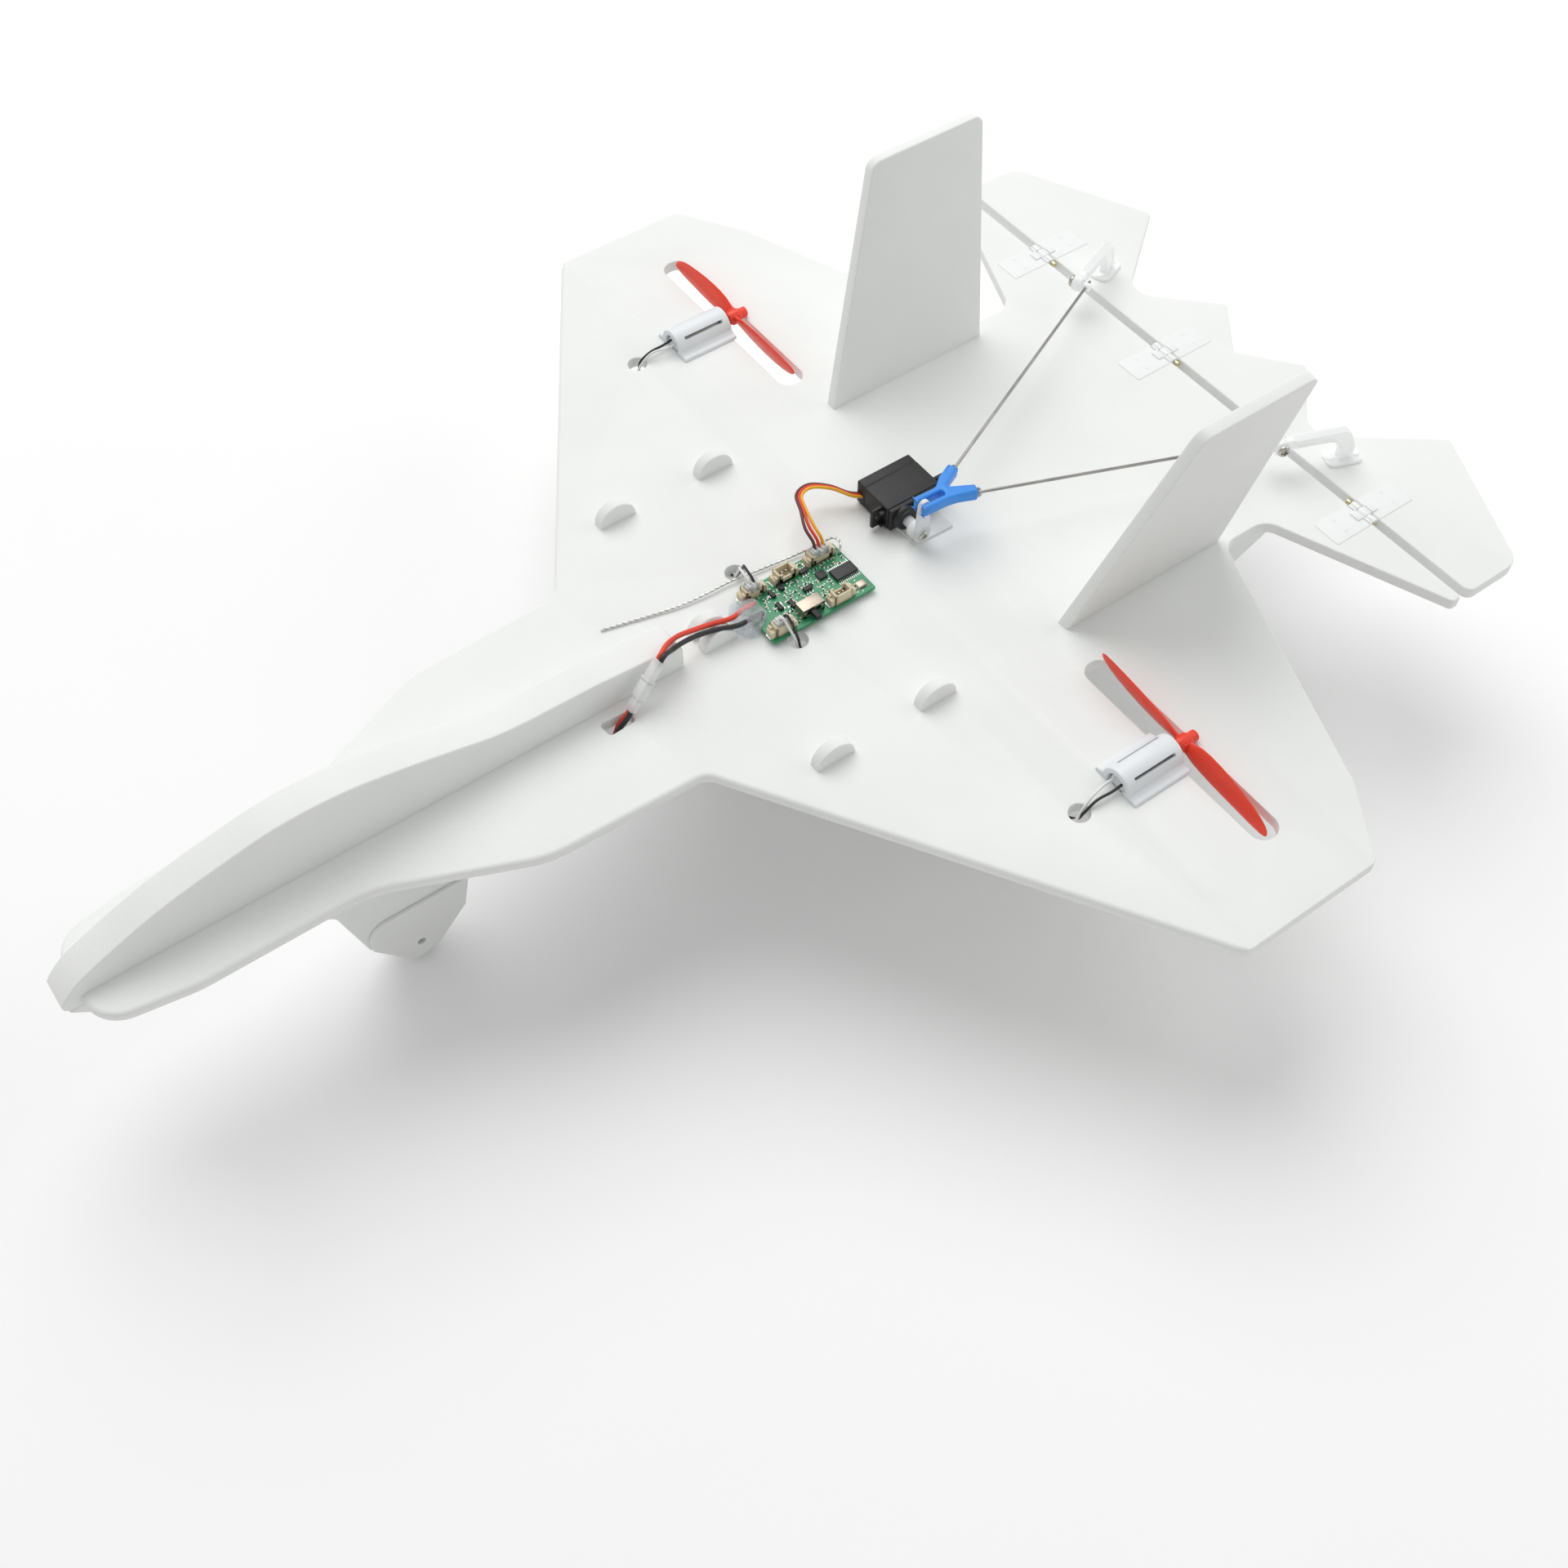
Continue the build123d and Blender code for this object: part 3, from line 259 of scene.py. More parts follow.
def finish_mesh(name, mesh, mat, body, replaces=(), angle=32.0):
    mesh.validate()
    mesh.polygons.foreach_set("use_smooth", [True] * len(mesh.polygons))
    mesh.set_sharp_from_angle(angle=math.radians(angle))
    mesh.materials.clear()
    mesh.materials.append(mat)
    obj = bpy.data.objects.new(name, mesh)
    bpy.context.scene.collection.objects.link(obj)
    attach(obj, body)
    if replaces:
        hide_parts(*replaces)


def to_mesh(bm, name):
    """Mesh in metres from a bmesh drawn in mm."""
    bmesh.ops.scale(bm, vec=(MM, MM, MM), verts=bm.verts)
    bmesh.ops.recalc_face_normals(bm, faces=bm.faces)
    mesh = bpy.data.meshes.new(name)
    bm.to_mesh(mesh)
    bm.free()
    return mesh


def emit(name, bm, mat, replaces=(), body="airframe", angle=32.0):
    """Turn a bmesh drawn in mm into a finished piece."""
    finish_mesh(name, to_mesh(bm, name), mat, body, replaces, angle)


def emit_pair(name, mesh, mat, replaces, body="airframe"):
    """Finish a port piece together with its mirrored starboard twin."""
    other = name.replace("port", "starboard")
    twin = mirrored_mesh(mesh, other)
    finish_mesh(name, mesh, mat, body, replaces)
    finish_mesh(other, twin, mat, body, [node.replace("port", "starboard") for node in replaces])


def arc_points(centre, start, end, steps):
    a0 = math.atan2(start[1] - centre[1], start[0] - centre[0])
    a1 = math.atan2(end[1] - centre[1], end[0] - centre[0])
    turn = a1 - a0
    while turn > math.pi:
        turn -= 2 * math.pi
    while turn < -math.pi:
        turn += 2 * math.pi
    r = math.hypot(start[0] - centre[0], start[1] - centre[1])
    return [(centre[0] + r * math.cos(a0 + turn * k / steps), centre[1] + r * math.sin(a0 + turn * k / steps))
            for k in range(steps + 1)]


def rounded(corners, step=6.0):
    """Closed loop of points from (x, y, radius) corners."""
    pts = []
    count = len(corners)
    for i, (x, y, r) in enumerate(corners):
        here = Vector((x, y))
        before = Vector(corners[i - 1][:2]) - here
        after = Vector(corners[(i + 1) % count][:2]) - here
        half = before.angle(after) / 2
        if r <= 0 or half > math.radians(89.6):
            pts.append((x, y))
            continue
        reach = r / math.tan(half)
        a = here + before.normalized() * reach
        b = here + after.normalized() * reach
        c = here + (before.normalized() + after.normalized()).normalized() * (r / math.sin(half))
        sweep = math.pi - 2 * half
        steps = max(3, int(math.degrees(sweep) / step))
        pts += arc_points(c, a, b, steps)
    return tidy(pts)


def tidy(pts, gap=1e-4):
    out = []
    for p in pts:
        if not out or math.hypot(p[0] - out[-1][0], p[1] - out[-1][1]) > gap:
            out.append(p)
    if math.hypot(out[0][0] - out[-1][0], out[0][1] - out[-1][1]) < gap:
        out.pop()
    return out


def signed_area(pts):
    return sum(a[0] * b[1] - b[0] * a[1] for a, b in zip(pts, pts[1:] + pts[:1])) / 2


def circle(x, y, r, n=48):
    return [(x + r * math.cos(2 * math.pi * k / n), y + r * math.sin(2 * math.pi * k / n)) for k in range(n)]


def offset_dirs(pts):
    """Unit-offset vectors that move every point of a loop into the solid (loop counter-clockwise)."""
    dirs = []
    n = len(pts)
    for i in range(n):
        a, b, c = Vector(pts[i - 1]), Vector(pts[i]), Vector(pts[(i + 1) % n])
        e0 = (b - a).normalized()
        e1 = (c - b).normalized()
        n0 = Vector((-e0.y, e0.x))
        n1 = Vector((-e1.y, e1.x))
        m = n0 + n1
        if m.length < 1e-6:
            dirs.append(n0)
            continue
        m.normalize()
        dirs.append(m / max(0.45, m.dot(n0)))
    return dirs


def lies_flat(face):
    return abs(face.normal.z) > 0.9999 or face.normal.length == 0


def plate_mesh(name, outer, holes, z0, z1, edge, hole_edge=0.15, steps=5):
    """Sheet with rounded edges. edge is a number or a function of (x, y) giving (inset, drop)."""
    bm = bmesh.new()
    caps = {0: [], 1: []}
    loops = [(outer, True)] + [(h, False) for h in holes]
    for pts, is_outer in loops:
        if (signed_area(pts) > 0) != is_outer:
            pts = pts[::-1]
        dirs = offset_dirs(pts)
        rings = []
        sizes = []
        for x, y in pts:
            if is_outer:
                e = edge(x, y) if callable(edge) else edge
            else:
                e = hole_edge
            sizes.append(e if isinstance(e, tuple) else (e, e))
        levels = [("top", k) for k in range(steps + 1)] + [("low", k) for k in range(steps, -1, -1)]
        for side, k in levels:
            a = math.pi / 2 * k / steps
            ring = []
            for (x, y), d, (inset, drop) in zip(pts, dirs, sizes):
                drop = min(drop, (z1 - z0) / 2 - 0.01)
                inward = inset * (1 - math.sin(a))
                down = drop * (1 - math.cos(a))
                z = z1 - down if side == "top" else z0 + down
                ring.append(bm.verts.new((x + d.x * inward, y + d.y * inward, z)))
            rings.append(ring)
        for upper, lower in zip(rings, rings[1:]):
            skin(bm, upper, lower)
        caps[1].append(rings[0])
        caps[0].append(rings[-1])
    for side, rings in caps.items():
        flat = [v for ring in rings for v in ring]
        for tri in tessellate_polygon([[Vector((v.co.x, v.co.y, 0)) for v in ring] for ring in rings]):
            try:
                bm.faces.new([flat[i] for i in tri])
            except ValueError:
                pass
    inside = [e for e in bm.edges if len(e.link_faces) == 2 and all(lies_flat(f) for f in e.link_faces)]
    bmesh.ops.dissolve_limit(bm, angle_limit=math.radians(0.4), verts=[], edges=inside)
    return to_mesh(bm, name)


YZ_PLATE = Matrix(((0, 0, 1, 0), (1, 0, 0, 0), (0, 1, 0, 0), (0, 0, 0, 1)))
XZ_PLATE = Matrix(((1, 0, 0, 0), (0, 0, -1, 0), (0, 1, 0, 0), (0, 0, 0, 1)))
MIRROR_X = Matrix.Scale(-1, 4, (1, 0, 0))


def spin(degrees, axis):
    return Matrix.Rotation(math.radians(degrees), 4, axis)


def sheet(name, corners, z0, z1, edge, mat, replaces, body="airframe"):
    """Flat piece cut from sheet, drawn as (x, y, radius) corners."""
    finish_mesh(name, plate_mesh(name, rounded(corners), [], z0, z1, edge), mat, body, replaces)


def mirrored_mesh(mesh, name):
    copy = mesh.copy()
    copy.name = name
    copy.transform(MIRROR_X)
    copy.flip_normals()
    return copy


def box_bm(bm, x0, x1, y0, y1, z0, z1, bevel=0.0, matrix=None):
    made = bmesh.ops.create_cube(bm, size=1.0)["verts"]
    bmesh.ops.scale(bm, vec=(x1 - x0, y1 - y0, z1 - z0), verts=made)
    bmesh.ops.translate(bm, vec=((x0 + x1) / 2, (y0 + y1) / 2, (z0 + z1) / 2), verts=made)
    if bevel:
        edges = list(set(e for v in made for e in v.link_edges))
        out = bmesh.ops.bevel(bm, geom=edges, offset=bevel, segments=3, profile=0.5, affect="EDGES")
        made = list(set(v for f in out["faces"] for v in f.verts) | set(v for v in made if v.is_valid))
    if matrix is not None:
        bmesh.ops.transform(bm, matrix=matrix, verts=made)


def pad_bm(bm, x, y, half_x, half_y, z0, z1, bevel=0.0, matrix=None):
    """Box given by its middle and half sizes in plan."""
    box_bm(bm, x - half_x, x + half_x, y - half_y, y + half_y, z0, z1, bevel, matrix)


def add_plate(bm, mesh, matrix=None):
    """Append a plate mesh to a bmesh that is still in mm."""
    if matrix is not None:
        mesh.transform(matrix)
    mesh.transform(Matrix.Scale(1 / MM, 4))
    bm.from_mesh(mesh)


def skin(bm, a, b):
    """Quads between two rings of equal length."""
    for i in range(len(a)):
        j = (i + 1) % len(a)
        bm.faces.new((a[i], a[j], b[j], b[i]))


def lathe_bm(bm, profile, matrix, n=40):
    """Turned shape from (radius, height) pairs about local Z."""
    rings = []
    for r, z in profile:
        if r < 1e-6:
            rings.append([bm.verts.new(matrix @ Vector((0, 0, z)))])
        else:
            rings.append([bm.verts.new(matrix @ Vector((r * math.cos(2 * math.pi * k / n),
                                                       r * math.sin(2 * math.pi * k / n), z)))
                          for k in range(n)])
    for a, b in zip(rings, rings[1:]):
        for i in range(n):
            j = (i + 1) % n
            if len(a) == 1 and len(b) == 1:
                continue
            if len(a) == 1:
                bm.faces.new((a[0], b[j], b[i]))
            elif len(b) == 1:
                bm.faces.new((a[i], a[j], b[0]))
            else:
                bm.faces.new((a[i], a[j], b[j], b[i]))


def turned(profile, fillet=0.0, steps=3):
    """Profile with its corners softened, all but the first, the last and those on the axis."""
    if fillet <= 0:
        return profile
    out = []
    for i, (r, z) in enumerate(profile):
        if i in (0, len(profile) - 1) or r < 1e-6:
            out.append((r, z))
            continue
        here = Vector((r, z))
        a = Vector(profile[i - 1]) - here
        b = Vector(profile[i + 1]) - here
        if min(a.length, b.length) < 1e-6 or a.angle(b) > math.radians(170):
            out.append((r, z))
            continue
        reach = min(fillet, a.length * 0.45, b.length * 0.45)
        p0 = here + a.normalized() * reach
        p1 = here + b.normalized() * reach
        for k in range(steps + 1):
            t = k / steps
            q = p0 * (1 - t) ** 2 + here * 2 * t * (1 - t) + p1 * t ** 2
            out.append((max(0.0, q.x), q.y))
    return out


def rod_profile(radius, low, high, fillet):
    return turned([(0, low), (radius, low), (radius, high), (0, high)], fillet)


def axis_matrix(origin, direction, up=(0, 0, 1)):
    """Local Z along direction, local X near up."""
    z = Vector(direction).normalized()
    u = Vector(up)
    if abs(z.dot(u.normalized())) > 0.98:
        u = Vector((1, 0, 0))
    x = (u - z * u.dot(z)).normalized()
    y = z.cross(x)
    m = Matrix((x, y, z)).transposed().to_4x4()
    m.translation = Vector(origin)
    return m


def smooth_path(points, per=10):
    """Centripetal Catmull-Rom samples through the points."""
    pts = [Vector(p) for p in points]
    pts = [pts[0] * 2 - pts[1]] + pts + [pts[-1] * 2 - pts[-2]]
    out = []
    for i in range(1, len(pts) - 2):
        p0, p1, p2, p3 = pts[i - 1:i + 3]
        t0 = 0.0
        t1 = t0 + (p1 - p0).length ** 0.5
        t2 = t1 + (p2 - p1).length ** 0.5
        t3 = t2 + (p3 - p2).length ** 0.5
        steps = max(3, min(per, int((p2 - p1).length / 0.6)))
        for k in range(steps):
            t = t1 + (t2 - t1) * k / steps
            a1 = p0 * ((t1 - t) / (t1 - t0)) + p1 * ((t - t0) / (t1 - t0))
            a2 = p1 * ((t2 - t) / (t2 - t1)) + p2 * ((t - t1) / (t2 - t1))
            a3 = p2 * ((t3 - t) / (t3 - t2)) + p3 * ((t - t2) / (t3 - t2))
            b1 = a1 * ((t2 - t) / (t2 - t0)) + a2 * ((t - t0) / (t2 - t0))
            b2 = a2 * ((t3 - t) / (t3 - t1)) + a3 * ((t - t1) / (t3 - t1))
            out.append(b1 * ((t2 - t) / (t2 - t1)) + b2 * ((t - t1) / (t2 - t1)))
    out.append(pts[-2])
    return out


def frames_along(path):
    """Position and two cross directions at every sample, without twisting."""
    tangents = []
    for i in range(len(path)):
        a = path[max(0, i - 1)]
        b = path[min(len(path) - 1, i + 1)]
        tangents.append((b - a).normalized())
    side = tangents[0].orthogonal().normalized()
    out = []
    for p, t in zip(path, tangents):
        side = (side - t * side.dot(t)).normalized()
        out.append((p, side, t.cross(side)))
    return out


def tube_bm(bm, path, radius, n=12):
    rings = []
    for p, u, v in frames_along(path):
        rings.append([bm.verts.new(p + (u * math.cos(2 * math.pi * k / n) + v * math.sin(2 * math.pi * k / n))
                                   * radius) for k in range(n)])
    for a, b in zip(rings, rings[1:]):
        skin(bm, a, b)
    bm.faces.new(rings[0][::-1])
    bm.faces.new(rings[-1])


# ---------------------------------------------------------------- shared sizes (mm)

T = 4.0
HINGE_Y, HINGE_Z = 133.6, 3.2
MOTOR_X, MOTOR_Z = 110.6, 5.4
PROP_Y = 25.9
MOUNT_BORE, MOUNT_OUTER = 3.62, 5.5
MOUNT_Y = (0.6, 21.2)
WELL_HALF, WELL_Y = 3.9, 1.2
SLOT_X, SLOT_Y = (72.9, 148.0), (20.2, 29.4)
WIRE_HOLE_R = 3.2
KEEL_HALF, SKID_OUTER = 5.2, 6.4
BORE_Y, BORE_Z, BORE_R = -170.2, -54.0, 1.35
HEADER_PITCH, CHIP_PITCH = 1.5, 0.65
NACELLE_X = 56.5
TABS_Y = (-56.4, -19.9)
BELLY_TAB_Y = -58.8
FIN_X, FIN_CANT = 55.5, 10.9
WING_HOLE = (111.2, -12.8)
BODY_HOLE = (16.2, -39.3)
PCB_TOP = 6.2
PCB_BOX = (-7.2, 14.6, -46.6, -9.4)
SERVO_BOX = (-18.6, -3.2, 8.4, 28.4)
SERVO_Z0, SERVO_H = 4.6, 8.5
ARM_X, ARM_Y, ARM_Z, ARM_LEN = 7.4, 13.4, 8.85, 12.2
LINK_Z = ARM_Z + ARM_LEN
HINGE_XS = (-76.2, -13.4, 77.0)

# ---------------------------------------------------------------- foam sheets


def mirrored_corners(half):
    other = [(-x, y, r) for x, y, r in reversed(half) if abs(x) > 1e-6]
    return half + other


BOARD_HALF = [
    (0, -258.6, 0), (15.5, -257.6, 11), (19.6, -232, 40), (19.6, -183, 32), (38.8, -138.5, 32),
    (40.5, -88.6, 6), (170.0, -6.2, 4.5), (170.0, 41.6, 3), (147.5, 56.2, 8), (61.6, 89.3, 6),
    (61.6, 106.2, 7), (118.5, 128.5, 1.6), (118.5, 132.0, 1), (0, 132.0, 0),
]
ELEVATOR_HALF = [
    (0, 135.2, 0), (118.9, 135.2, 3), (118.9, 156.4, 7), (70.7, 179.6, 2), (42.7, 143.7, 8),
    (18.9, 167.3, 1.5), (0, 152.4, 1),
]


def board_edge(x, y):
    """Leading edges and nose are rounded, tips and trailing edges nearly square."""
    ax = abs(x)
    leading = y < -88 or (ax < 169.5 and y < -88.6 + (ax - 40.5) * 0.64 + 3.0 and ax > 38)
    if leading:
        return (1.5, 1.35)
    return (0.45, 0.45)


def build_board():
    """Main board; each propeller slot opens into the well that the motor lies in."""
    outer = rounded(mirrored_corners(BOARD_HALF))
    holes = []
    for s in (-1, 1):
        (x0, x1), (y0, y1) = SLOT_X, SLOT_Y
        w0, w1 = MOTOR_X - WELL_HALF, MOTOR_X + WELL_HALF
        slot = [(x0, y0, 4.4), (w0, y0, 0.3), (w0, WELL_Y, 1), (w1, WELL_Y, 1), (w1, y0, 0.3),
                (x1, y0, 4.4), (x1, y1, 4.4), (x0, y1, 4.4)]
        holes.append(rounded([(s * x, y, radius) for x, y, radius in slot[::s]]))
        holes.append(circle(s * WING_HOLE[0], WING_HOLE[1], WIRE_HOLE_R))
        holes.append(circle(s * BODY_HOLE[0], BODY_HOLE[1], WIRE_HOLE_R))
    holes.append(rounded([(8.6, -103.6, 1.2), (13.9, -103.0, 1.2), (13.5, -94.2, 1.2), (9.2, -94.6, 1.2)]))
    mesh = plate_mesh("main_board_foam", outer, holes, 0, T, board_edge, 0.25)
    finish_mesh("main_board_foam", mesh, FOAM_BOARD, "airframe", ["main_board"])


def build_elevator():
    sheet("elevator_foam", mirrored_corners(ELEVATOR_HALF), 0, T, 0.45, FOAM, ["elevator"],
          "elevator_flap")


def upright(name, corners, x0, x1, edge, mat, replaces=(), holes=(), matrix=None, twin=False):
    """Plate drawn as (y, z) between x0 and x1, alone or with a mirrored twin."""
    mesh = plate_mesh(name, rounded(corners) if len(corners[0]) == 3 else corners, list(holes), x0, x1, edge)
    mesh.transform(YZ_PLATE)
    if matrix is not None:
        mesh.transform(matrix)
    if twin:
        emit_pair(name, mesh, mat, replaces)
    else:
        finish_mesh(name, mesh, mat, "airframe", replaces)


def build_fins():
    corners = [(26.8, -0.9, 0), (50.8, 76.4, 4), (93.0, 76.4, 3), (88.4, -0.9, 0)]
    lift = Matrix.Translation((FIN_X * MM, 0, T * MM)) @ spin(FIN_CANT, "Y")
    upright("port_fin_foam", corners, 0, T, 0.5, FOAM, ["port_fin"], matrix=lift, twin=True)


def half_disc(y, z, r, n=28):
    return [(y + r * math.cos(math.pi * k / n), z + r * math.sin(math.pi * k / n)) for k in range(n + 1)]


def build_nacelles():
    low = rounded([(-67, 0.05, 0), (-60, -15, 8), (-46, -18.5, 10), (95, -18.5, 6), (131, 0.05, 0)])
    top = []
    for y in sorted(TABS_Y, reverse=True):
        arc = half_disc(y, T, 6.5)
        top += [(arc[0][0], 0.05)] + arc + [(arc[-1][0], 0.05)]
    outline = tidy(low + top)
    upright("port_nacelle_foam", outline, NACELLE_X - T / 2, NACELLE_X + T / 2, 0.5, FOAM,
            ["port_nacelle_plate"], twin=True)


def build_keel():
    crown = smooth_path([(-263.4, 3.0, 0), (-261.6, 5.4, 0), (-257, 9.4, 0), (-245, 15.2, 0),
                         (-232.6, 20.0, 0), (-221, 23.2, 0), (-210, 25.6, 0), (-199, 27.7, 0),
                         (-188, 28.3, 0), (-176, 27.6, 0), (-165, 25.6, 0), (-154, 23.1, 0),
                         (-143, 20.3, 0), (-134, 18.0, 0), (-124, 16.9, 0), (-112, 16.6, 0),
                         (-100, 16.3, 0)], 8)
    outline = [(p.x, p.y) for p in crown]
    outline += [(-86, 15.2), (-75.4, 14.2), (-74.0, 13.8), (-72.8, 12.8), (-72.0, 11.4), (-72.0, T - 0.2),
                (-257.0, T - 0.2), (-257.0, 0.2), (-262.0, 0.2), (-263.2, 1.4)]
    upright("nose_keel_foam", tidy(outline), -KEEL_HALF, KEEL_HALF, 0.55, FOAM_SAWN, ["nose_keel"])
    belly = rounded([(-262.8, 0.15, 0.4), (-257, -5.8, 4), (-236, -13, 20), (-200, -19.5, 20),
                     (-191.5, -21.5, 5), (-185.2, -46.2, 1.5), (-173.4, -62.4, 4.5), (-166.3, -61.0, 4.5),
                     (-154.1, -48.1, 2), (-148.0, -23.0, 5), (-140, -19.5, 10), (-82, -19.5, 12),
                     (-50, 0.15, 1)])
    bore = circle(BORE_Y, BORE_Z, BORE_R, 32)
    upright("belly_keel_foam", belly, -KEEL_HALF, KEEL_HALF, 0.55, FOAM_SAWN, ["belly_keel"], holes=[bore])
    skid = rounded([(-184.6, -46.0, 1), (-184.6, -35.6, 6), (-151.2, -35.6, 1), (-154.2, -47.9, 1),
                    (-166.3, -60.7, 4.5), (-173.4, -62.0, 4.5)])
    for sign, side in ((1, "port"), (-1, "starboard")):
        xs = sorted((sign * KEEL_HALF, sign * SKID_OUTER))
        upright(side + "_skid_facing", skid, xs[0], xs[1], 0.25, FOAM, ["skid_plates"], holes=[bore])
    for sign, side in ((1, "port"), (-1, "starboard")):
        disc = [(BELLY_TAB_Y + 5.9, 0.3)] + half_disc(BELLY_TAB_Y, T, 5.9) + [(BELLY_TAB_Y - 5.9, 0.3)]
        x = sign * 3.1
        upright(side + "_belly_tab", disc, x - T / 2, x + T / 2, 0.5, FOAM)


build_board()
build_elevator()
build_fins()
build_nacelles()
build_keel()

# ---------------------------------------------------------------- motors and propellers


def mount_arc(radius, first, last):
    """Points about the motor axis, from the first to the last angle in degrees."""
    angles = [math.radians(first + (last - first) * k / 32) for k in range(33)]
    return [(radius * math.cos(a), MOTOR_Z + radius * math.sin(a)) for a in angles]


def mount_outline():
    """Front view of the motor cradle: flanges and a half pipe open at the foot."""
    right = [(8.3, T), (8.3, T + 0.7), (8.0, T + 1.05), (7.1, T + 1.2), (6.3, T + 1.45), (5.75, T + 1.95)]
    left = [(-x, z) for x, z in reversed(right)]
    foot = math.degrees(math.asin((T - MOTOR_Z) / MOUNT_BORE))
    return tidy(right + mount_arc(MOUNT_OUTER, 8, 172) + left + mount_arc(MOUNT_BORE, 180 - foot, foot))


def build_mounts():
    mesh = plate_mesh("port_motor_cradle", mount_outline(), [], -MOUNT_Y[1], -MOUNT_Y[0], 0.3)
    mesh.transform(XZ_PLATE)
    mesh.transform(Matrix.Translation((MOTOR_X * MM, 0, 0)))
    bm = bmesh.new()
    for turn in (-41, 41):
        m = Matrix.Translation((MOTOR_X, 11.2, MOTOR_Z)) @ spin(turn, "Y")
        pad_bm(bm, 0, 0, 0.5, 7.5, 2.6, 8.0, matrix=m)
    cutter = bpy.data.objects.new("cutter", to_mesh(bm, "cutter"))
    bpy.context.scene.collection.objects.link(cutter)
    obj = bpy.data.objects.new("temp", mesh)
    bpy.context.scene.collection.objects.link(obj)
    mod = obj.modifiers.new("slits", "BOOLEAN")
    mod.object = cutter
    mod.solver = "EXACT"
    bpy.context.view_layer.update()
    cut = bpy.data.meshes.new_from_object(obj.evaluated_get(bpy.context.evaluated_depsgraph_get()))
    bpy.data.objects.remove(obj)
    bpy.data.objects.remove(cutter)
    emit_pair("port_motor_cradle", cut, PLASTIC, ["port_motor_mount"])


def build_motors():
    for s, side in ((1, "port"), (-1, "starboard")):
        bm = bmesh.new()
        m = axis_matrix((s * MOTOR_X, 0, MOTOR_Z), (0, 1, 0))
        lathe_bm(bm, turned([(0, 2.4), (3.5, 2.4), (3.5, 21.2), (1.5, 21.2), (1.5, 22.2), (0, 22.2)], 0.35),
                 m)
        emit(side + "_motor_body", bm, CAN, [side + "_motor_can"])
        bm = bmesh.new()
        lathe_bm(bm, rod_profile(2.9, 1.4, 2.6, 0.3), m)
        emit(side + "_brush_cap", bm, PLASTIC)
        bm = bmesh.new()
        lathe_bm(bm, rod_profile(0.5, 21.0, 29.4, 0.1), m, 20)
        emit(side + "_prop_shaft", bm, STEEL, [side + "_motor_shaft"], body=side + "_prop")


BLADE = (
    # radius, chord, thickness, pitch, shift along the chord
    (1.4, 3.6, 1.9, 30, 0.0), (3.0, 4.6, 1.6, 23, 0.2), (6.0, 6.6, 1.35, 16, 0.4), (9.0, 7.3, 1.2, 14, 0.5),
    (13.0, 7.7, 1.05, 12, 0.5), (18.0, 7.6, 0.95, 10.5, 0.4), (23.0, 7.0, 0.85, 9, 0.2),
    (27.5, 6.2, 0.75, 8.5, -0.1), (31.0, 5.0, 0.65, 8, -0.5), (33.3, 3.7, 0.55, 8, -0.9),
    (34.5, 2.3, 0.45, 8, -1.2), (35.0, 0.9, 0.3, 8, -1.4),
)


def blade_bm(bm, hand, flip):
    """Lofted blade along +X (or -X when flipped by half a turn about the shaft)."""
    turn = Matrix.Rotation(math.pi, 4, "Y") if flip else Matrix.Identity(4)
    n = 28
    rings = []
    for radius, chord, thick, pitch, shift in BLADE:
        a = math.radians(90 - pitch)
        along = Vector((0, math.cos(a), hand * math.sin(a)))
        across = Vector((0, -hand * math.sin(a), math.cos(a)))
        ring = []
        for k in range(n):
            t = 2 * math.pi * k / n
            s = math.cos(t)
            camber = 0.10 * chord * (1 - s * s) * 0.6
            width = thick / 2 * math.sin(t) * (1.0 - 0.25 * s)
            p = Vector((radius, 0, 0)) + along * (shift + s * chord / 2)
            p += across * (width + camber * hand * 0.6)
            ring.append(bm.verts.new(turn @ p))
        rings.append(ring)
    for a, b in zip(rings, rings[1:]):
        skin(bm, a, b)
    bm.faces.new(rings[0][::-1])
    bm.faces.new(rings[-1])


def build_props():
    for s, side, phase in ((1, "port", 5.6), (-1, "starboard", 1.0)):
        bm = bmesh.new()
        blade_bm(bm, s, False)
        blade_bm(bm, s, True)
        m = axis_matrix((0, 0, 0), (0, 1, 0))
        lathe_bm(bm, turned([(0, -2.7), (1.9, -2.7), (2.35, -1.6), (2.35, 1.6), (1.95, 2.1), (1.8, 2.3),
                             (1.8, 4.6), (0, 4.6)], 0.3), m, 36)
        for angle in (40, 140, 220, 320):
            rib = spin(angle, "Y")
            box_bm(bm, 0.6, 2.6, -1.6, 1.4, -0.35, 0.35, 0.15, rib)
        place = Matrix.Translation((s * MOTOR_X, PROP_Y, MOTOR_Z)) @ spin(phase, "Y")
        bmesh.ops.transform(bm, matrix=place, verts=bm.verts)
        emit(side + "_prop_red", bm, RED, [side + "_propeller"], body=side + "_prop", angle=40)


build_mounts()
build_motors()
build_props()

# ---------------------------------------------------------------- receiver board


def build_board_stack():
    x0, x1, y0, y1 = PCB_BOX
    corners = [(x0, y0 + 2.6, 0.3), (x0 + 2.6, y0, 0.3), (x1, y0, 0.3), (x1, y1, 0.4), (x0, y1, 0.4)]
    sheet("receiver_laminate", corners, PCB_TOP - 1.0, PCB_TOP, 0.06, BOARD_GREEN, ["receiver_board"])
    tape = [(x0 - 1.3, y0 + 2.4, 0.3), (x1 - 3.0, y0 + 3.0, 0.3), (x1 - 3.0, y1 - 0.8, 0.3),
            (x0 - 1.3, y1 - 0.4, 0.3)]
    sheet("receiver_foam_tape", tape, T - 0.02, PCB_TOP - 1.0, 0.12, TAPE, ["receiver_tape"])


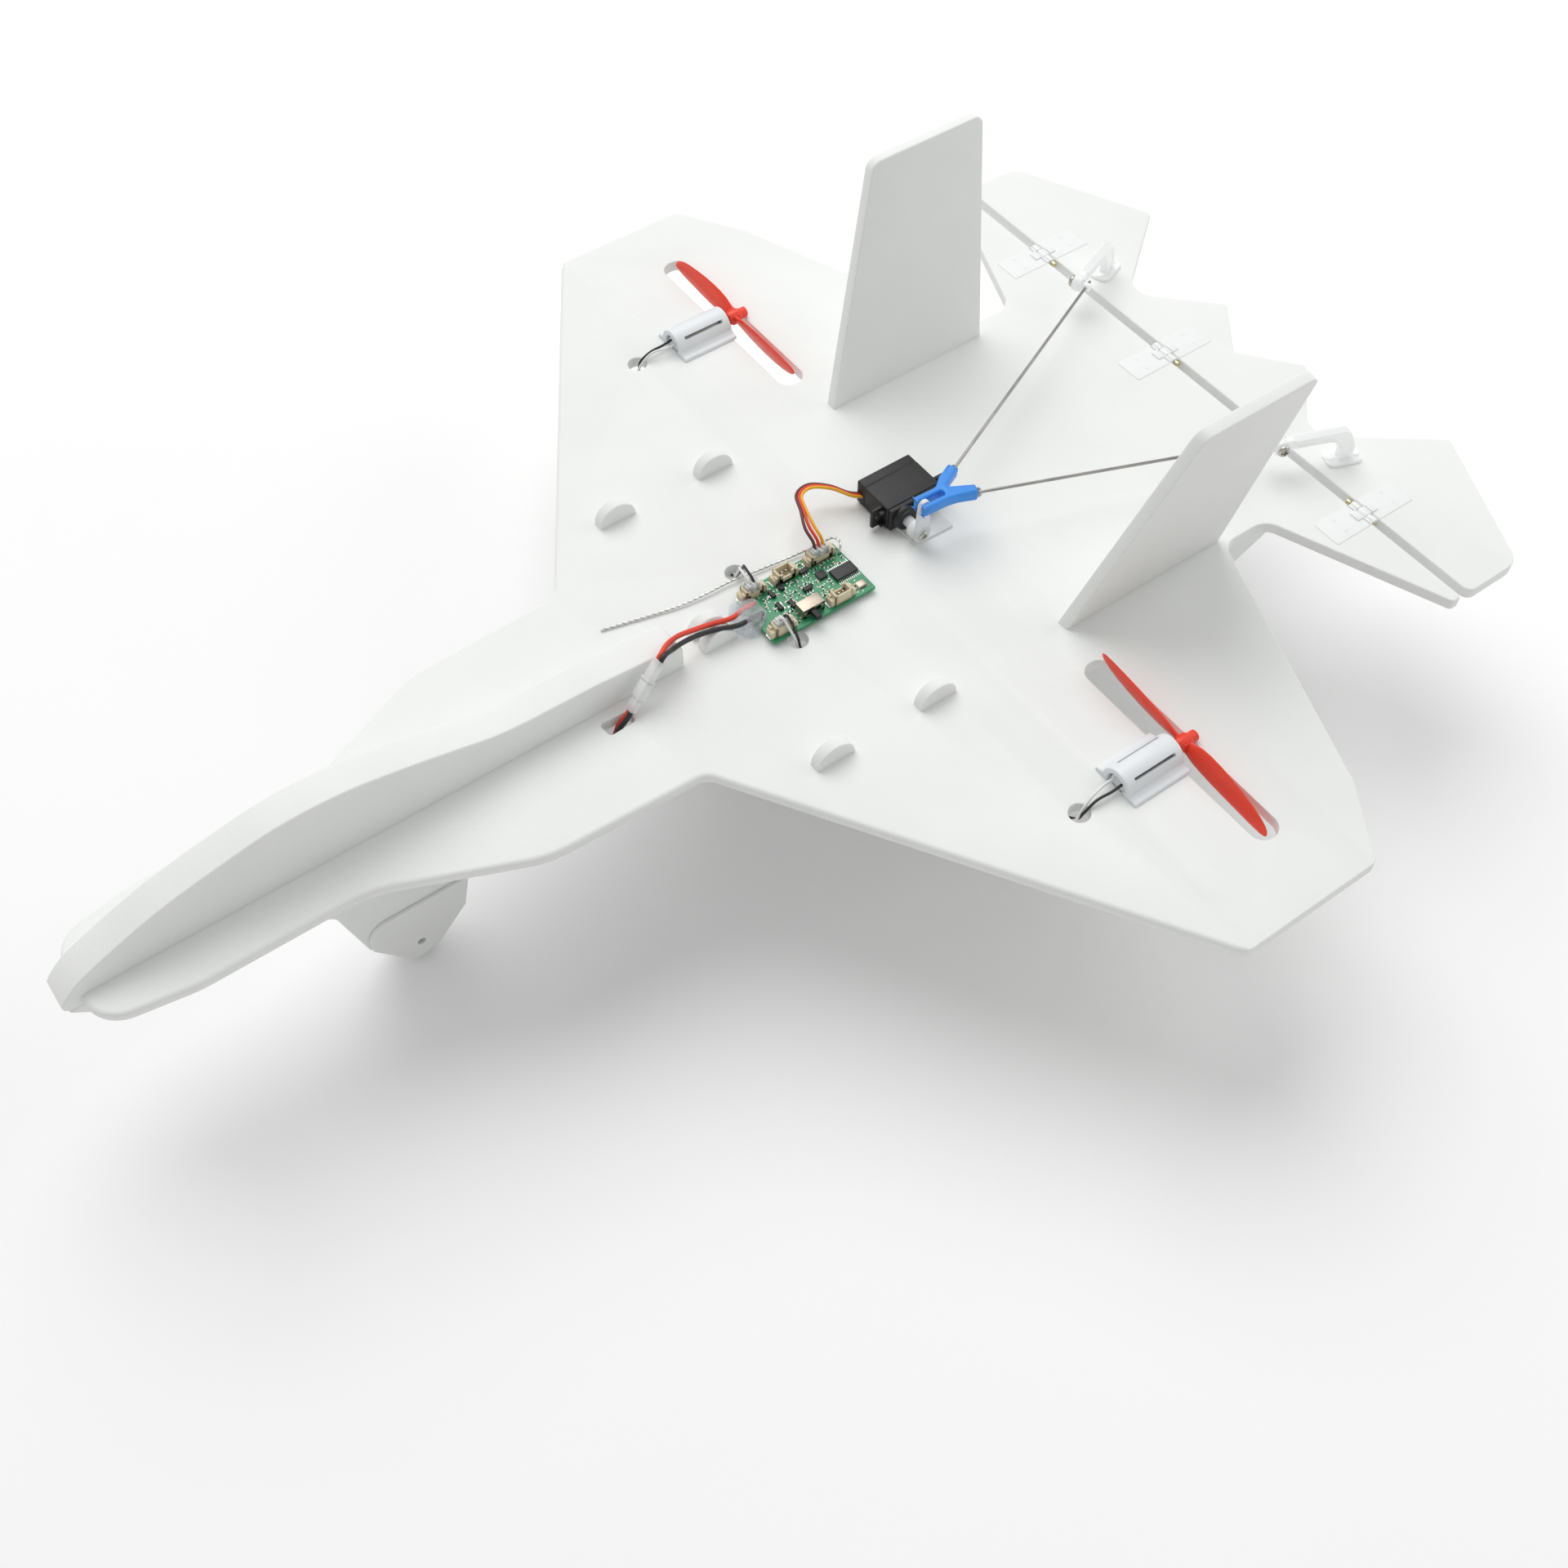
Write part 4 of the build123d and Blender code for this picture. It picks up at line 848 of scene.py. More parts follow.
def chip_bm(bm, x, y, half_x, half_y, low, high, bevel=0.0, matrix=None):
    """Box that stands on the receiver board, heights counted from its upper face."""
    pad_bm(bm, x, y, half_x, half_y, PCB_TOP + low, PCB_TOP + high, bevel, matrix)


def gull_leg(bm, x, y, out, reach, high, wide):
    """Bent lead: shoulder, drop and foot."""
    xs = [x, x + out * reach * 0.35, x + out * reach * 0.5, x + out * reach]
    zs = [PCB_TOP + high, PCB_TOP + high, PCB_TOP + 0.12, PCB_TOP + 0.12]
    t = 0.13
    for i in range(3):
        a = Vector((xs[i], 0, zs[i]))
        b = Vector((xs[i + 1], 0, zs[i + 1]))
        d = (b - a).normalized()
        nrm = Vector((-d.z, 0, d.x)) * t / 2
        verts = []
        for p in (a - nrm, a + nrm, b + nrm, b - nrm):
            verts.append(bm.verts.new((p.x, y - wide / 2, p.z)))
        other = [bm.verts.new((v.co.x, y + wide / 2, v.co.z)) for v in verts]
        bm.faces.new(verts)
        bm.faces.new(other[::-1])
        for k in range(4):
            m = (k + 1) % 4
            bm.faces.new((verts[k], other[k], other[m], verts[m]))


TRANSISTORS = [(-0.8, -36.6, 90), (-1.7, -32.9, 90), (4.5, -37.6, 90), (5.9, -33.9, 90)]
DRIVERS = [(3.6, -26.6), (-2.7, -23.6)]


def build_chips():
    resin = bmesh.new()
    legs = bmesh.new()
    pads = bmesh.new()
    x, y = 4.4, -13.8
    chip_bm(resin, x, y, 2.2, 3.9, 0.1, 1.15, 0.12)
    for i in range(12):
        py = y + (i - 5.5) * CHIP_PITCH
        for s in (-1, 1):
            gull_leg(legs, x + s * 2.15, py, s, 1.05, 0.55, 0.24)
            box_bm(pads, x + s * 3.0 - 0.55, x + s * 3.0 + 0.45, py - 0.16, py + 0.16, PCB_TOP,
                   PCB_TOP + 0.05)
    box_bm(resin, 0.1, 3.1, -21.6, -18.6, PCB_TOP + 0.02, PCB_TOP + 0.85, 0.08)
    for k in range(6):
        off = (k - 2.5) * 0.5
        for s in (-1, 1):
            chip_bm(pads, 1.6 + s * 1.62, -20.1 + off, 0.14, 0.12, 0, 0.12)
            chip_bm(pads, 1.6 + off, -20.1 + s * 1.62, 0.12, 0.14, 0, 0.12)
    for tx, ty, turn in TRANSISTORS:
        m = Matrix.Translation((tx, ty, 0)) @ spin(turn, "Z")
        chip_bm(resin, 0, 0, 0.68, 1.45, 0.1, 1.05, 0.1, m)
        for ly, s in ((-0.95, 1), (0.95, 1), (0, -1)):
            before = set(legs.verts)
            gull_leg(legs, s * 0.66, ly, s, 0.62, 0.5, 0.42)
            bmesh.ops.transform(legs, matrix=m, verts=[v for v in legs.verts if v not in before])
            chip_bm(pads, s * 1.15, ly, 0.42, 0.42, 0, 0.09, 0.03, m)
    for tx, ty in DRIVERS:
        chip_bm(resin, tx, ty, 0.8, 1.45, 0.1, 1.1, 0.1)
        for ly in (-0.95, 0, 0.95):
            for s in (-1, 1):
                gull_leg(legs, tx + s * 0.78, ty + ly, s, 0.62, 0.5, 0.38)
                chip_bm(pads, tx + s * 1.3, ty + ly, 0.4, 0.32, 0, 0.09, 0.03)
    emit("chip_packages", resin, RESIN, ["chip_bodies"])
    emit("chip_leads", legs, TIN, ["metal_pins"])
    emit("solder_pads", pads, TIN)


def taken(x, y):
    """True where a larger part already stands on the board."""
    spots = [(4.4, -13.8, 3.6, 4.4), (1.6, -20.1, 2.2, 2.2), (-4.6, -41.2, 2.4, 5.2),
             (11.9, -42.0, 2.4, 5.2), (-4.4, -29.6, 2.4, 5.2), (12.1, -20.6, 2.4, 5.2),
             (-4.6, -16.4, 2.4, 6.0), (10.7, -30.0, 2.8, 4.8), (11.4, -12.6, 2.2, 2.2),
             (2.2, -44.6, 5.6, 3.4)]
    spots += [(a, b, 1.9, 1.2) for a, b, _ in TRANSISTORS] + [(a, b, 1.8, 1.8) for a, b in DRIVERS]
    return any(abs(x - a) < w and abs(y - b) < h for a, b, w, h in spots)


def build_passives():
    black = bmesh.new()
    tan = bmesh.new()
    ends = bmesh.new()
    vias = bmesh.new()
    rng = random.Random(11)
    placed = []
    tries = 0
    while len(placed) < 46 and tries < 4000:
        tries += 1
        x = rng.uniform(PCB_BOX[0] + 1.0, PCB_BOX[1] - 1.0)
        y = rng.uniform(PCB_BOX[2] + 4.0, PCB_BOX[3] - 1.0)
        if taken(x, y) or any(abs(x - a) < 1.25 and abs(y - b) < 1.25 for a, b in placed):
            continue
        placed.append((x, y))
        m = Matrix.Translation((x, y, 0)) @ Matrix.Rotation(math.pi / 2 * rng.randint(0, 1), 4, "Z")
        body = tan if rng.random() < 0.4 else black
        chip_bm(body, 0, 0, 0.28, 0.25, 0.02, 0.42, 0.03, m)
        for s in (-1, 1):
            chip_bm(ends, s * 0.4, 0, 0.13, 0.27, 0, 0.44, 0.04, m)
            chip_bm(ends, s * 0.58, 0, 0.2, 0.32, 0, 0.1, 0.04, m)
    tries = 0
    holes = []
    while len(holes) < 34 and tries < 4000:
        tries += 1
        x = rng.uniform(PCB_BOX[0] + 0.8, PCB_BOX[1] - 0.8)
        y = rng.uniform(PCB_BOX[2] + 3.0, PCB_BOX[3] - 0.8)
        if taken(x, y) or any(abs(x - a) < 1.0 and abs(y - b) < 0.8 for a, b in placed + holes):
            continue
        holes.append((x, y))
        lathe_bm(vias, [(0, 0.02), (0.1, 0.02), (0.2, 0.04), (0.25, 0.0)],
                 Matrix.Translation((x, y, PCB_TOP)), 14)
    emit("resistors", black, RESIN, ["passive_parts"])
    emit("capacitors", tan, CAP_TAN)
    emit("tinned_ends", ends, TIN)
    emit("tinned_vias", vias, TIN)
    bm = bmesh.new()
    box_bm(bm, 10.1, 12.7, -14.2, -11.0, PCB_TOP + 0.05, PCB_TOP + 0.62, 0.1)
    box_bm(bm, 10.3, 12.5, -14.0, -11.2, PCB_TOP + 0.6, PCB_TOP + 0.82, 0.08)
    for sx in (10.3, 12.5):
        for sy in (-13.9, -11.3):
            chip_bm(bm, sx, sy, 0.45, 0.5, 0, 0.1, 0.03)
    emit("crystal_can_tin", bm, SHIELD, ["crystal_can"])


MOTOR_SOCKETS = ((-4.6, -41.2, 2, -1), (11.9, -42.0, 2, 1))
SPARE_SOCKETS = ((-4.4, -29.6, 2, -1), (12.1, -20.6, 2, 1))
SERVO_SOCKET = (-4.6, -16.4, 3, -1)


def header_half(poles):
    return (4.6 + HEADER_PITCH * (poles - 1)) / 2


def socket_bm(bm, x, y, poles, face):
    """Open-top header: base, thin walls, end ears with steps."""
    half = header_half(poles)
    z0, z1 = PCB_TOP, PCB_TOP + 3.9
    b = 0.12
    pad_bm(bm, x, y, 1.9, half, z0, z0 + 1.0, b)
    for s in (-1, 1):
        pad_bm(bm, x, y + s * half - s * 0.35, 1.9, 0.35, z0, z1, b)
        pad_bm(bm, x, y + s * (half + 0.75), 1.5, 0.75, z0, z0 + 2.5, b)
        pad_bm(bm, x - face * 0.9, y + s * (half + 0.5), 0.75, 0.5, z0 + 2.2, z0 + 3.1, b)
    pad_bm(bm, x + face * 1.6, y, 0.3, half, z0, z1, b)
    for s in (-1, 1):
        pad_bm(bm, x - face * 1.6, y + s * (half - 0.75), 0.3, 0.75, z0, z1, b)
    pad_bm(bm, x - face * 1.6, y, 0.3, half, z0, z0 + 2.3, b)


def build_sockets():
    shells = bmesh.new()
    pins = bmesh.new()
    tabs = bmesh.new()
    for x, y, poles, face in MOTOR_SOCKETS + SPARE_SOCKETS + (SERVO_SOCKET,):
        socket_bm(shells, x, y, poles, face)
        half = header_half(poles)
        for s in (-1, 1):
            chip_bm(tabs, x, y + s * (half + 1.0), 1.2, 1.0, 0, 0.14, 0.04)
        for i in range(poles):
            py = y + (i - (poles - 1) / 2) * HEADER_PITCH
            chip_bm(tabs, x - face * 2.3, py, 0.6, 0.3, 0, 0.2, 0.06)
            if (x, y, poles, face) in SPARE_SOCKETS:
                chip_bm(pins, x, py, 0.22, 0.22, 0.9, 3.0, 0.08)
    emit("wire_headers", shells, IVORY, ["wire_sockets"])
    emit("header_pins", pins, TIN)
    emit("header_tabs", tabs, TIN)
    bm = bmesh.new()
    for x, y, poles, face in MOTOR_SOCKETS + (SERVO_SOCKET,):
        half = header_half(poles) - 0.7
        chip_bm(bm, x, y, 1.25, half, 1.0, 4.9, 0.15)
        for i in range(poles + 1):
            py = y + (i - poles / 2) * HEADER_PITCH
            chip_bm(bm, x, py, 1.3, 0.28, 4.4, 5.5, 0.12)
        chip_bm(bm, x - face * 1.45, y, 0.25, 0.6, 2.5, 4.8, 0.1)
        chip_bm(bm, x + face * 1.05, y, 0.2, half, 4.4, 5.4, 0.1)
    emit("wire_plug_shells", bm, NYLON, ["wire_plugs"])


SWITCH = (8.3, 12.5, -34.6, -26.8)


def build_switch():
    x0, x1, y0, y1 = SWITCH
    z0, z1 = PCB_TOP, PCB_TOP + 3.5
    bm = bmesh.new()
    w = 0.22
    box_bm(bm, x0, x1, y0, y1, z1 - w, z1, 0.09)
    box_bm(bm, x0, x0 + w, y0, y1, z0 + 0.1, z1 - 0.05, 0.06)
    for y in (y0, y1 - w):
        box_bm(bm, x0, x1, y, y + w, z0 + 0.1, z1 - 0.05, 0.06)
    box_bm(bm, x1 - w, x1, y0, y0 + 1.4, z0 + 0.1, z1 - 0.05, 0.06)
    box_bm(bm, x1 - w, x1, y1 - 1.4, y1, z0 + 0.1, z1 - 0.05, 0.06)
    box_bm(bm, x1 - w, x1, y0, y1, z1 - 0.8, z1 - 0.05, 0.06)
    box_bm(bm, x1 - w, x1, y0, y1, z0 + 0.1, z0 + 0.8, 0.06)
    for y in (y0 - 0.1, y1 + 0.1):
        box_bm(bm, x0 + 0.8, x0 + 1.6, y - 0.4, y + 0.4, z0, z0 + 0.25, 0.06)
        box_bm(bm, x1 - 1.4, x1 - 0.6, y - 0.4, y + 0.4, z0, z0 + 0.25, 0.06)
    emit("switch_shell", bm, SHIELD, ["switch_can"])
    bm = bmesh.new()
    box_bm(bm, x0 + 0.3, x1 - 2.4, y0 + 0.3, y1 - 0.3, z0 + 0.05, z1 - 0.3, 0.05)
    emit("switch_core", bm, CAP_TAN)
    bm = bmesh.new()
    box_bm(bm, x1 - 1.5, x1 + 3.6, -32.2, -30.3, z0 + 1.1, z0 + 2.7, 0.28)
    box_bm(bm, x1 - 1.6, x1 - 0.5, -32.9, -29.6, z0 + 1.0, z0 + 2.75, 0.1)
    emit("switch_knob", bm, BLACK, ["switch_lever"], body="switch_slider")


build_board_stack()
build_chips()
build_passives()
build_sockets()
build_switch()

# ---------------------------------------------------------------- servo and linkage


def build_servo():
    x0, x1, y0, y1 = SERVO_BOX
    z0, z1 = SERVO_Z0, SERVO_Z0 + SERVO_H
    bm = bmesh.new()
    box_bm(bm, x0, x0 + 4.0, y0, y1, z0, z1, 0.5)
    box_bm(bm, x0 + 4.12, x1, y0, y1, z0 + 0.02, z1 - 0.02, 0.35)
    box_bm(bm, x0 + 3.4, x0 + 4.6, y0 + 0.15, y1 - 0.15, z0 + 0.15, z1 - 0.15)
    box_bm(bm, x1 - 0.1, x1 + 1.4, y0 + 0.3, y1 - 0.3, z0 + 0.25, z1 - 0.25, 0.3)
    for end, s in ((y0, -1), (y1, 1)):
        lo, hi = sorted((end - s, end + s * 4.0))
        lug = rounded([(lo, z0 + 0.6, 0.6), (hi, z0 + 0.6, 0.6), (hi, z0 + 7.8, 0.6), (lo, z0 + 7.8, 0.6)])
        part = plate_mesh("lug", lug, [circle(end + s * 2.1, ARM_Z, 0.9, 24)], x1 - 3.4, x1 - 2.4, 0.12)
        add_plate(bm, part, YZ_PLATE)
        box_bm(bm, x1 - 2.5, x1 - 0.6, end + s * 1.0 - 0.9, end + s * 1.0 + 0.9, z0 + 1.4, z0 + 2.1, 0.1)
        box_bm(bm, x1 - 2.5, x1 - 0.6, end + s * 1.0 - 0.9, end + s * 1.0 + 0.9, z0 + 6.3, z0 + 7.0, 0.1)
    for y in (y0 + 1.2, y1 - 1.2):
        lathe_bm(bm, turned([(0, -0.05), (0.75, -0.05), (0.75, 0.12), (0.4, 0.12), (0, 0.02)], 0.1),
                 axis_matrix((x0 + 0.02, y, z0 + SERVO_H / 2), (-1, 0, 0)), 20)
    emit("servo_case_shell", bm, BLACK, ["servo_case"])
    bm = bmesh.new()
    m = axis_matrix((x1, ARM_Y, ARM_Z), (1, 0, 0))
    lathe_bm(bm, turned([(0, 0), (4.0, 0), (4.0, 2.6), (3.5, 3.2), (3.5, 3.9), (1.95, 3.9), (1.95, 3.0),
                         (0, 3.0)], 0.25), m)
    box_bm(bm, x1, x1 + 3.4, ARM_Y + 0.6, ARM_Y + 5.8, ARM_Z - 2.6, ARM_Z + 2.6, 0.6)
    box_bm(bm, x1, x1 + 1.9, ARM_Y + 4.0, y1 - 1.6, ARM_Z - 3.4, ARM_Z + 3.4, 0.4)
    emit("servo_gear_cover", bm, BLACK, ["servo_lid"])
    bm = bmesh.new()
    lathe_bm(bm, [(0, 0.5), (1.8, 0.5), (1.8, 9.2), (0, 9.2)], axis_matrix((x1, ARM_Y, ARM_Z), (1, 0, 0)), 28)
    emit("servo_spline", bm, NYLON, ["servo_output"], body="servo_horn")
    tape = [(x0 + 1.0, y0 + 2.0, 0.4), (x1 + 10.3, y0 + 3.4, 0.4), (x1 + 10.6, y1 - 2.2, 0.4),
            (x0 + 1.0, y1 - 2.4, 0.4)]
    sheet("servo_pad", tape, T - 0.02, SERVO_Z0 + 0.3, 0.15, TAPE, ["servo_tape"])


def build_arm():
    outline = []
    hub_r, tip_r = 3.1, 1.9
    for k in range(25):
        a = math.radians(145 + 250 * k / 24)
        outline.append((ARM_Y + hub_r * math.cos(a), ARM_Z + hub_r * math.sin(a)))
    for k in range(17):
        a = math.radians(-8 + 196 * k / 16)
        outline.append((ARM_Y + tip_r * math.cos(a), LINK_Z + tip_r * math.sin(a)))
    mesh = plate_mesh("servo_arm_blade", tidy(outline), [circle(ARM_Y, LINK_Z, 0.75, 24)], ARM_X - 0.8,
                      ARM_X + 0.8, 0.28)
    bm = bmesh.new()
    add_plate(bm, mesh, YZ_PLATE)
    lathe_bm(bm, turned([(1.82, -3.6), (3.1, -3.6), (3.1, 0.2), (2.9, 0.9), (0, 0.9)], 0.3),
             axis_matrix((ARM_X, ARM_Y, ARM_Z), (1, 0, 0)))
    emit("servo_arm_white", bm, ARM_NYLON, ["servo_arm"], body="servo_horn")
    bm = bmesh.new()
    m = axis_matrix((ARM_X + 0.9, ARM_Y, ARM_Z), (1, 0, 0))
    cross_screw(bm, m, 1.65, 0.95)
    emit("servo_arm_screw_head", bm, STEEL, ["servo_arm_screw"], body="servo_horn")


def cross_screw(bm, m, r, h):
    """Pan head with a real cross recess, built as four quadrants round a sunk cross."""
    lathe_bm(bm, turned([(0, h * 0.35), (r * 0.55, h * 0.35), (r * 0.55, h * 0.86), (r * 0.8, h * 0.78),
                         (r, h * 0.35), (r, -0.1), (0, -0.1)], h * 0.2), m, 32)
    w = r * 0.15
    for sx in (-1, 1):
        for sy in (-1, 1):
            lo_x, hi_x = sorted((sx * w, sx * r * 0.46))
            lo_y, hi_y = sorted((sy * w, sy * r * 0.46))
            box_bm(bm, lo_x, hi_x, lo_y, hi_y, h * 0.3, h * 0.95, r * 0.05, m)


def rod_path(sign):
    start = Vector((ARM_X - 1.6 + sign * 5.7, ARM_Y + 17.0, LINK_Z - 1.4))
    end = Vector((sign * ROD_END.x, ROD_END.y, ROD_END.z))
    return start, end


ROD_END = Vector((45.0, 124.7, 14.5))


def build_link():
    """Y-shaped plate: fork round the arm, then one socket arm for each rod."""
    arms = {}
    for sign in (-1, 1):
        start, end = rod_path(sign)
        d = Vector((end.x - start.x, end.y - start.y)).normalized()
        arms[sign] = (Vector((start.x, start.y)), d, Vector((d.y, -d.x)))
    x = ARM_X
    w = 1.75
    p_tip, p_dir, p_side = arms[1]
    s_tip, s_dir, s_side = arms[-1]
    crotch = (x - 1.6, ARM_Y + 9.3)
    outer = [
        (x + 1.05, ARM_Y - 2.1, 0.9), (x + 3.0, ARM_Y - 2.1, 1.2), (x + 3.0, ARM_Y + 6.6, 3.0),
    ]
    a = p_tip + p_side * w
    b = p_tip - p_side * w
    outer += [(*(a - p_dir * 6.5), 3.0), (*a, 0.5), (*b, 0.5), (*crotch, 0.8)]
    a = s_tip + s_side * w
    b = s_tip - s_side * w
    outer += [(*a, 0.5), (*b, 0.5), (*(b - s_dir * 6.5), 3.0)]
    outer += [(x - 3.0, ARM_Y + 6.6, 3.0), (x - 3.0, ARM_Y - 2.1, 1.2), (x - 1.05, ARM_Y - 2.1, 0.9),
              (x - 1.05, ARM_Y + 7.4, 0.9), (x + 1.05, ARM_Y + 7.4, 0.9)]
    mesh = plate_mesh("y_link_blue", rounded(outer), [], -1.9, 1.9, 0.7)
    tilt = Matrix.Translation((0, ARM_Y * MM, LINK_Z * MM)) @ spin(-3.8, "X")
    tilt = tilt @ Matrix.Translation((0, -ARM_Y * MM, 0))
    bm = bmesh.new()
    add_plate(bm, mesh, tilt)
    lathe_bm(bm, rod_profile(1.0, -3.1, 3.1, 0.3),
             axis_matrix((ARM_X, ARM_Y, LINK_Z), (1, 0, 0)), 20)
    emit("y_link_blue", bm, BLUE, ["fork_link"], body="pushrods")
    for sign, side in ((1, "port"), (-1, "starboard")):
        start, end = rod_path(sign)
        along = (end - start).normalized()
        bm = bmesh.new()
        m = axis_matrix(start - along * 4.5, along)
        length = (end + along * 3.0 - start + along * 4.5).length
        lathe_bm(bm, rod_profile(0.5, 0, length, 0.1), m, 16)
        emit(side + "_rod_steel", bm, ROD_STEEL, [side + "_pushrod"], body="pushrods")
    bm = bmesh.new()
    for sign in (-1, 1):
        start, end = rod_path(sign)
        along = (end - start).normalized()
        lathe_bm(bm, turned([(0.5, -0.1), (1.35, -0.1), (1.5, 0.5), (1.2, 1.3), (0.6, 1.5), (0.5, 1.5)],
                            0.15), axis_matrix(start, along), 24)
        hook = [start + along * 0.5, start + along * 0.9 + Vector((0, 0, 1.3)),
                start + along * 0.2 + Vector((0, 0, 1.9))]
        tube_bm(bm, smooth_path(hook, 6), 0.28, 8)
    emit("rod_ferrules", bm, ROD_STEEL, ["rod_collars"], body="pushrods")


build_servo()
build_arm()
build_link()

# ---------------------------------------------------------------- horns and hinges

HORN_BASE = (56.3, 145.2)
HORN_TURN = math.radians(21.5)
STOP_REACH = 3.0


def across_horn(sign=1):
    return Vector((sign * math.cos(HORN_TURN), -math.sin(HORN_TURN), 0))


def build_horns():
    """Goose-neck horns with an I-section arm, and the swivels that hold the rods."""
    frame_m = Matrix.Translation((HORN_BASE[0], HORN_BASE[1], T)) @ Matrix.Rotation(-HORN_TURN, 4, "Z")
    x, y, z = frame_m.inverted() @ (ROD_END + across_horn() * STOP_REACH)
    outline = rounded([(2.6, 0.6, 0), (2.6, 5.6, 2.5), (-0.8, z + 2.8, 3.5), (y, z + 2.6, 0),
                       (y - 2.6, z + 2.6, 2.5), (y - 2.6, z - 2.6, 2.5), (y + 2.4, z - 2.6, 1.2),
                       (y + 3.6, z - 0.9, 1.2), (-5.4, z - 0.9, 3), (-2.2, 4.6, 2.5), (-2.2, 0.6, 0)])
    web = plate_mesh("web", outline, [circle(y, z, 1.8, 32)], x - 1.1, x + 1.1, 0.2)
    rim_top = rounded([(2.6, 0.6, 0), (2.6, 5.6, 2.5), (-0.8, z + 2.8, 3.5), (y + 3.4, z + 2.6, 0.4),
                       (y + 3.4, z + 1.7, 0.3), (-1.4, z + 1.8, 2.8), (1.5, 5.4, 1.8), (1.5, 0.6, 0)])
    rim_low = rounded([(y + 3.6, z - 0.9, 0.4), (-5.4, z - 0.9, 3), (-2.2, 4.6, 2.5), (-2.2, 0.6, 0),
                       (-1.2, 0.6, 0), (-1.2, 5.0, 3.2), (-4.6, z, 3.4), (y + 3.6, z, 0.3)])
    ring = plate_mesh("ring", circle(y, z, 2.75, 40), [circle(y, z, 1.8, 32)], x - 1.5, x + 1.5, 0.35)
    base = plate_mesh("base", rounded([(-3.6, -6.0, 2.4), (3.6, -6.0, 2.4), (3.6, 6.0, 2.4),
                                       (-3.6, 6.0, 2.4)]), [], -0.05, 1.1, 0.4)
    bm = bmesh.new()
    add_plate(bm, base)
    add_plate(bm, web, YZ_PLATE)
    add_plate(bm, ring, YZ_PLATE)
    for rim in (rim_top, rim_low):
        add_plate(bm, plate_mesh("rim", rim, [], x - 1.5, x + 1.5, 0.3), YZ_PLATE)
    for dy in (-4.4, 4.4):
        lathe_bm(bm, turned([(0, 0.9), (1.3, 0.9), (1.3, 1.35), (0.9, 1.6), (0, 1.6)], 0.15),
                 Matrix.Translation((0, dy, 0)), 24)
    bmesh.ops.transform(bm, matrix=frame_m, verts=bm.verts)
    emit_pair("port_horn_white", to_mesh(bm, "port_horn_white"), HORN_NYLON, ["port_horn"],
              "elevator_flap")
    swivels = bmesh.new()
    screws = bmesh.new()
    for sign in (-1, 1):
        m = axis_matrix(rod_path(sign)[1], across_horn(sign))
        lathe_bm(swivels, turned([(0, -1.4), (1.25, -1.4), (1.25, 1.0), (0.85, 1.0), (0.85, 4.9), (0, 4.9)],
                                 0.08), m, 28)
        cross_screw(screws, m @ Matrix.Translation((0, 0, 5.0)), 2.0, 1.35)
    emit("rod_stop_swivels", swivels, HORN_NYLON, ["rod_stops"], body="pushrods")
    emit("rod_stop_screws", screws, STEEL, body="pushrods")


def build_hinges():
    for direction, body, node, screws in ((-1, "airframe", "hinge_leaves_fixed", "hinge_screws_fixed"),
                                          (1, "elevator_flap", "hinge_leaves_moving", "hinge_screws_moving")):
        bm = bmesh.new()
        heads = bmesh.new()
        for x in HINGE_XS:
            y0 = HINGE_Y + direction * 1.9
            y1 = HINGE_Y + direction * 16.6
            lo, hi = sorted((y0, y1))
            leaf = plate_mesh("leaf", rounded([(x - 5.2, lo, 0.7), (x + 5.2, lo, 0.7), (x + 5.2, hi, 0.7),
                                               (x - 5.2, hi, 0.7)]), [], T - 0.6, T + 0.2, 0.12)
            add_plate(bm, leaf)
            spans = ((-4.9, -1.9), (1.9, 4.9)) if direction < 0 else ((-1.75, 1.75),)
            for a, b in spans:
                lathe_bm(bm, turned([(0.42, a), (1.35, a), (1.35, b), (0.42, b)], 0.2),
                         axis_matrix((x, HINGE_Y, HINGE_Z), (1, 0, 0)), 28)
                ya = HINGE_Y + direction * 0.5
                yb = HINGE_Y + direction * 2.4
                box_bm(bm, x + a + 0.1, x + b - 0.1, *sorted((ya, yb)), HINGE_Z - 0.1, T + 0.2, 0.1)
            yc = HINGE_Y + direction * 4.4
            box_bm(bm, x - 1.9, x + 1.9, *sorted((y0, yc)), T, T + 0.65, 0.2)
            for s in (-1, 1):
                m = Matrix.Translation((x + s * 2.6, HINGE_Y + direction * 10.5, T + 0.09))
                lathe_bm(heads, turned([(0, 0.12), (0.5, 0.12), (0.7, 0.07), (0.7, 0.0), (0, 0)], 0.04), m,
                         20)
        emit(node + "_nylon", bm, LEAF_NYLON, [node], body=body)
        emit(screws + "_heads", heads, LEAF_NYLON, [screws], body=body)
    bm = bmesh.new()
    for x in HINGE_XS:
        side = -1 if x > 0 else 1
        lathe_bm(bm, turned([(0, -5.5), (0.6, -5.5), (0.6, -5.0), (0.4, -5.0), (0.4, 5.3), (1.0, 5.3),
                             (1.0, 6.9), (0, 6.9)], 0.4), axis_matrix((x, HINGE_Y, HINGE_Z), (side, 0, 0)),
                             24)
    emit("hinge_pin_brass", bm, BRASS, ["hinge_pins"])


build_horns()
build_hinges()

# ---------------------------------------------------------------- wires, glue, battery


def wire(name, paths, radius, mat, replaces=()):
    bm = bmesh.new()
    for p in paths:
        tube_bm(bm, smooth_path(p, 12), radius)
    finish_mesh(name, to_mesh(bm, name), mat, "airframe", replaces, angle=60)


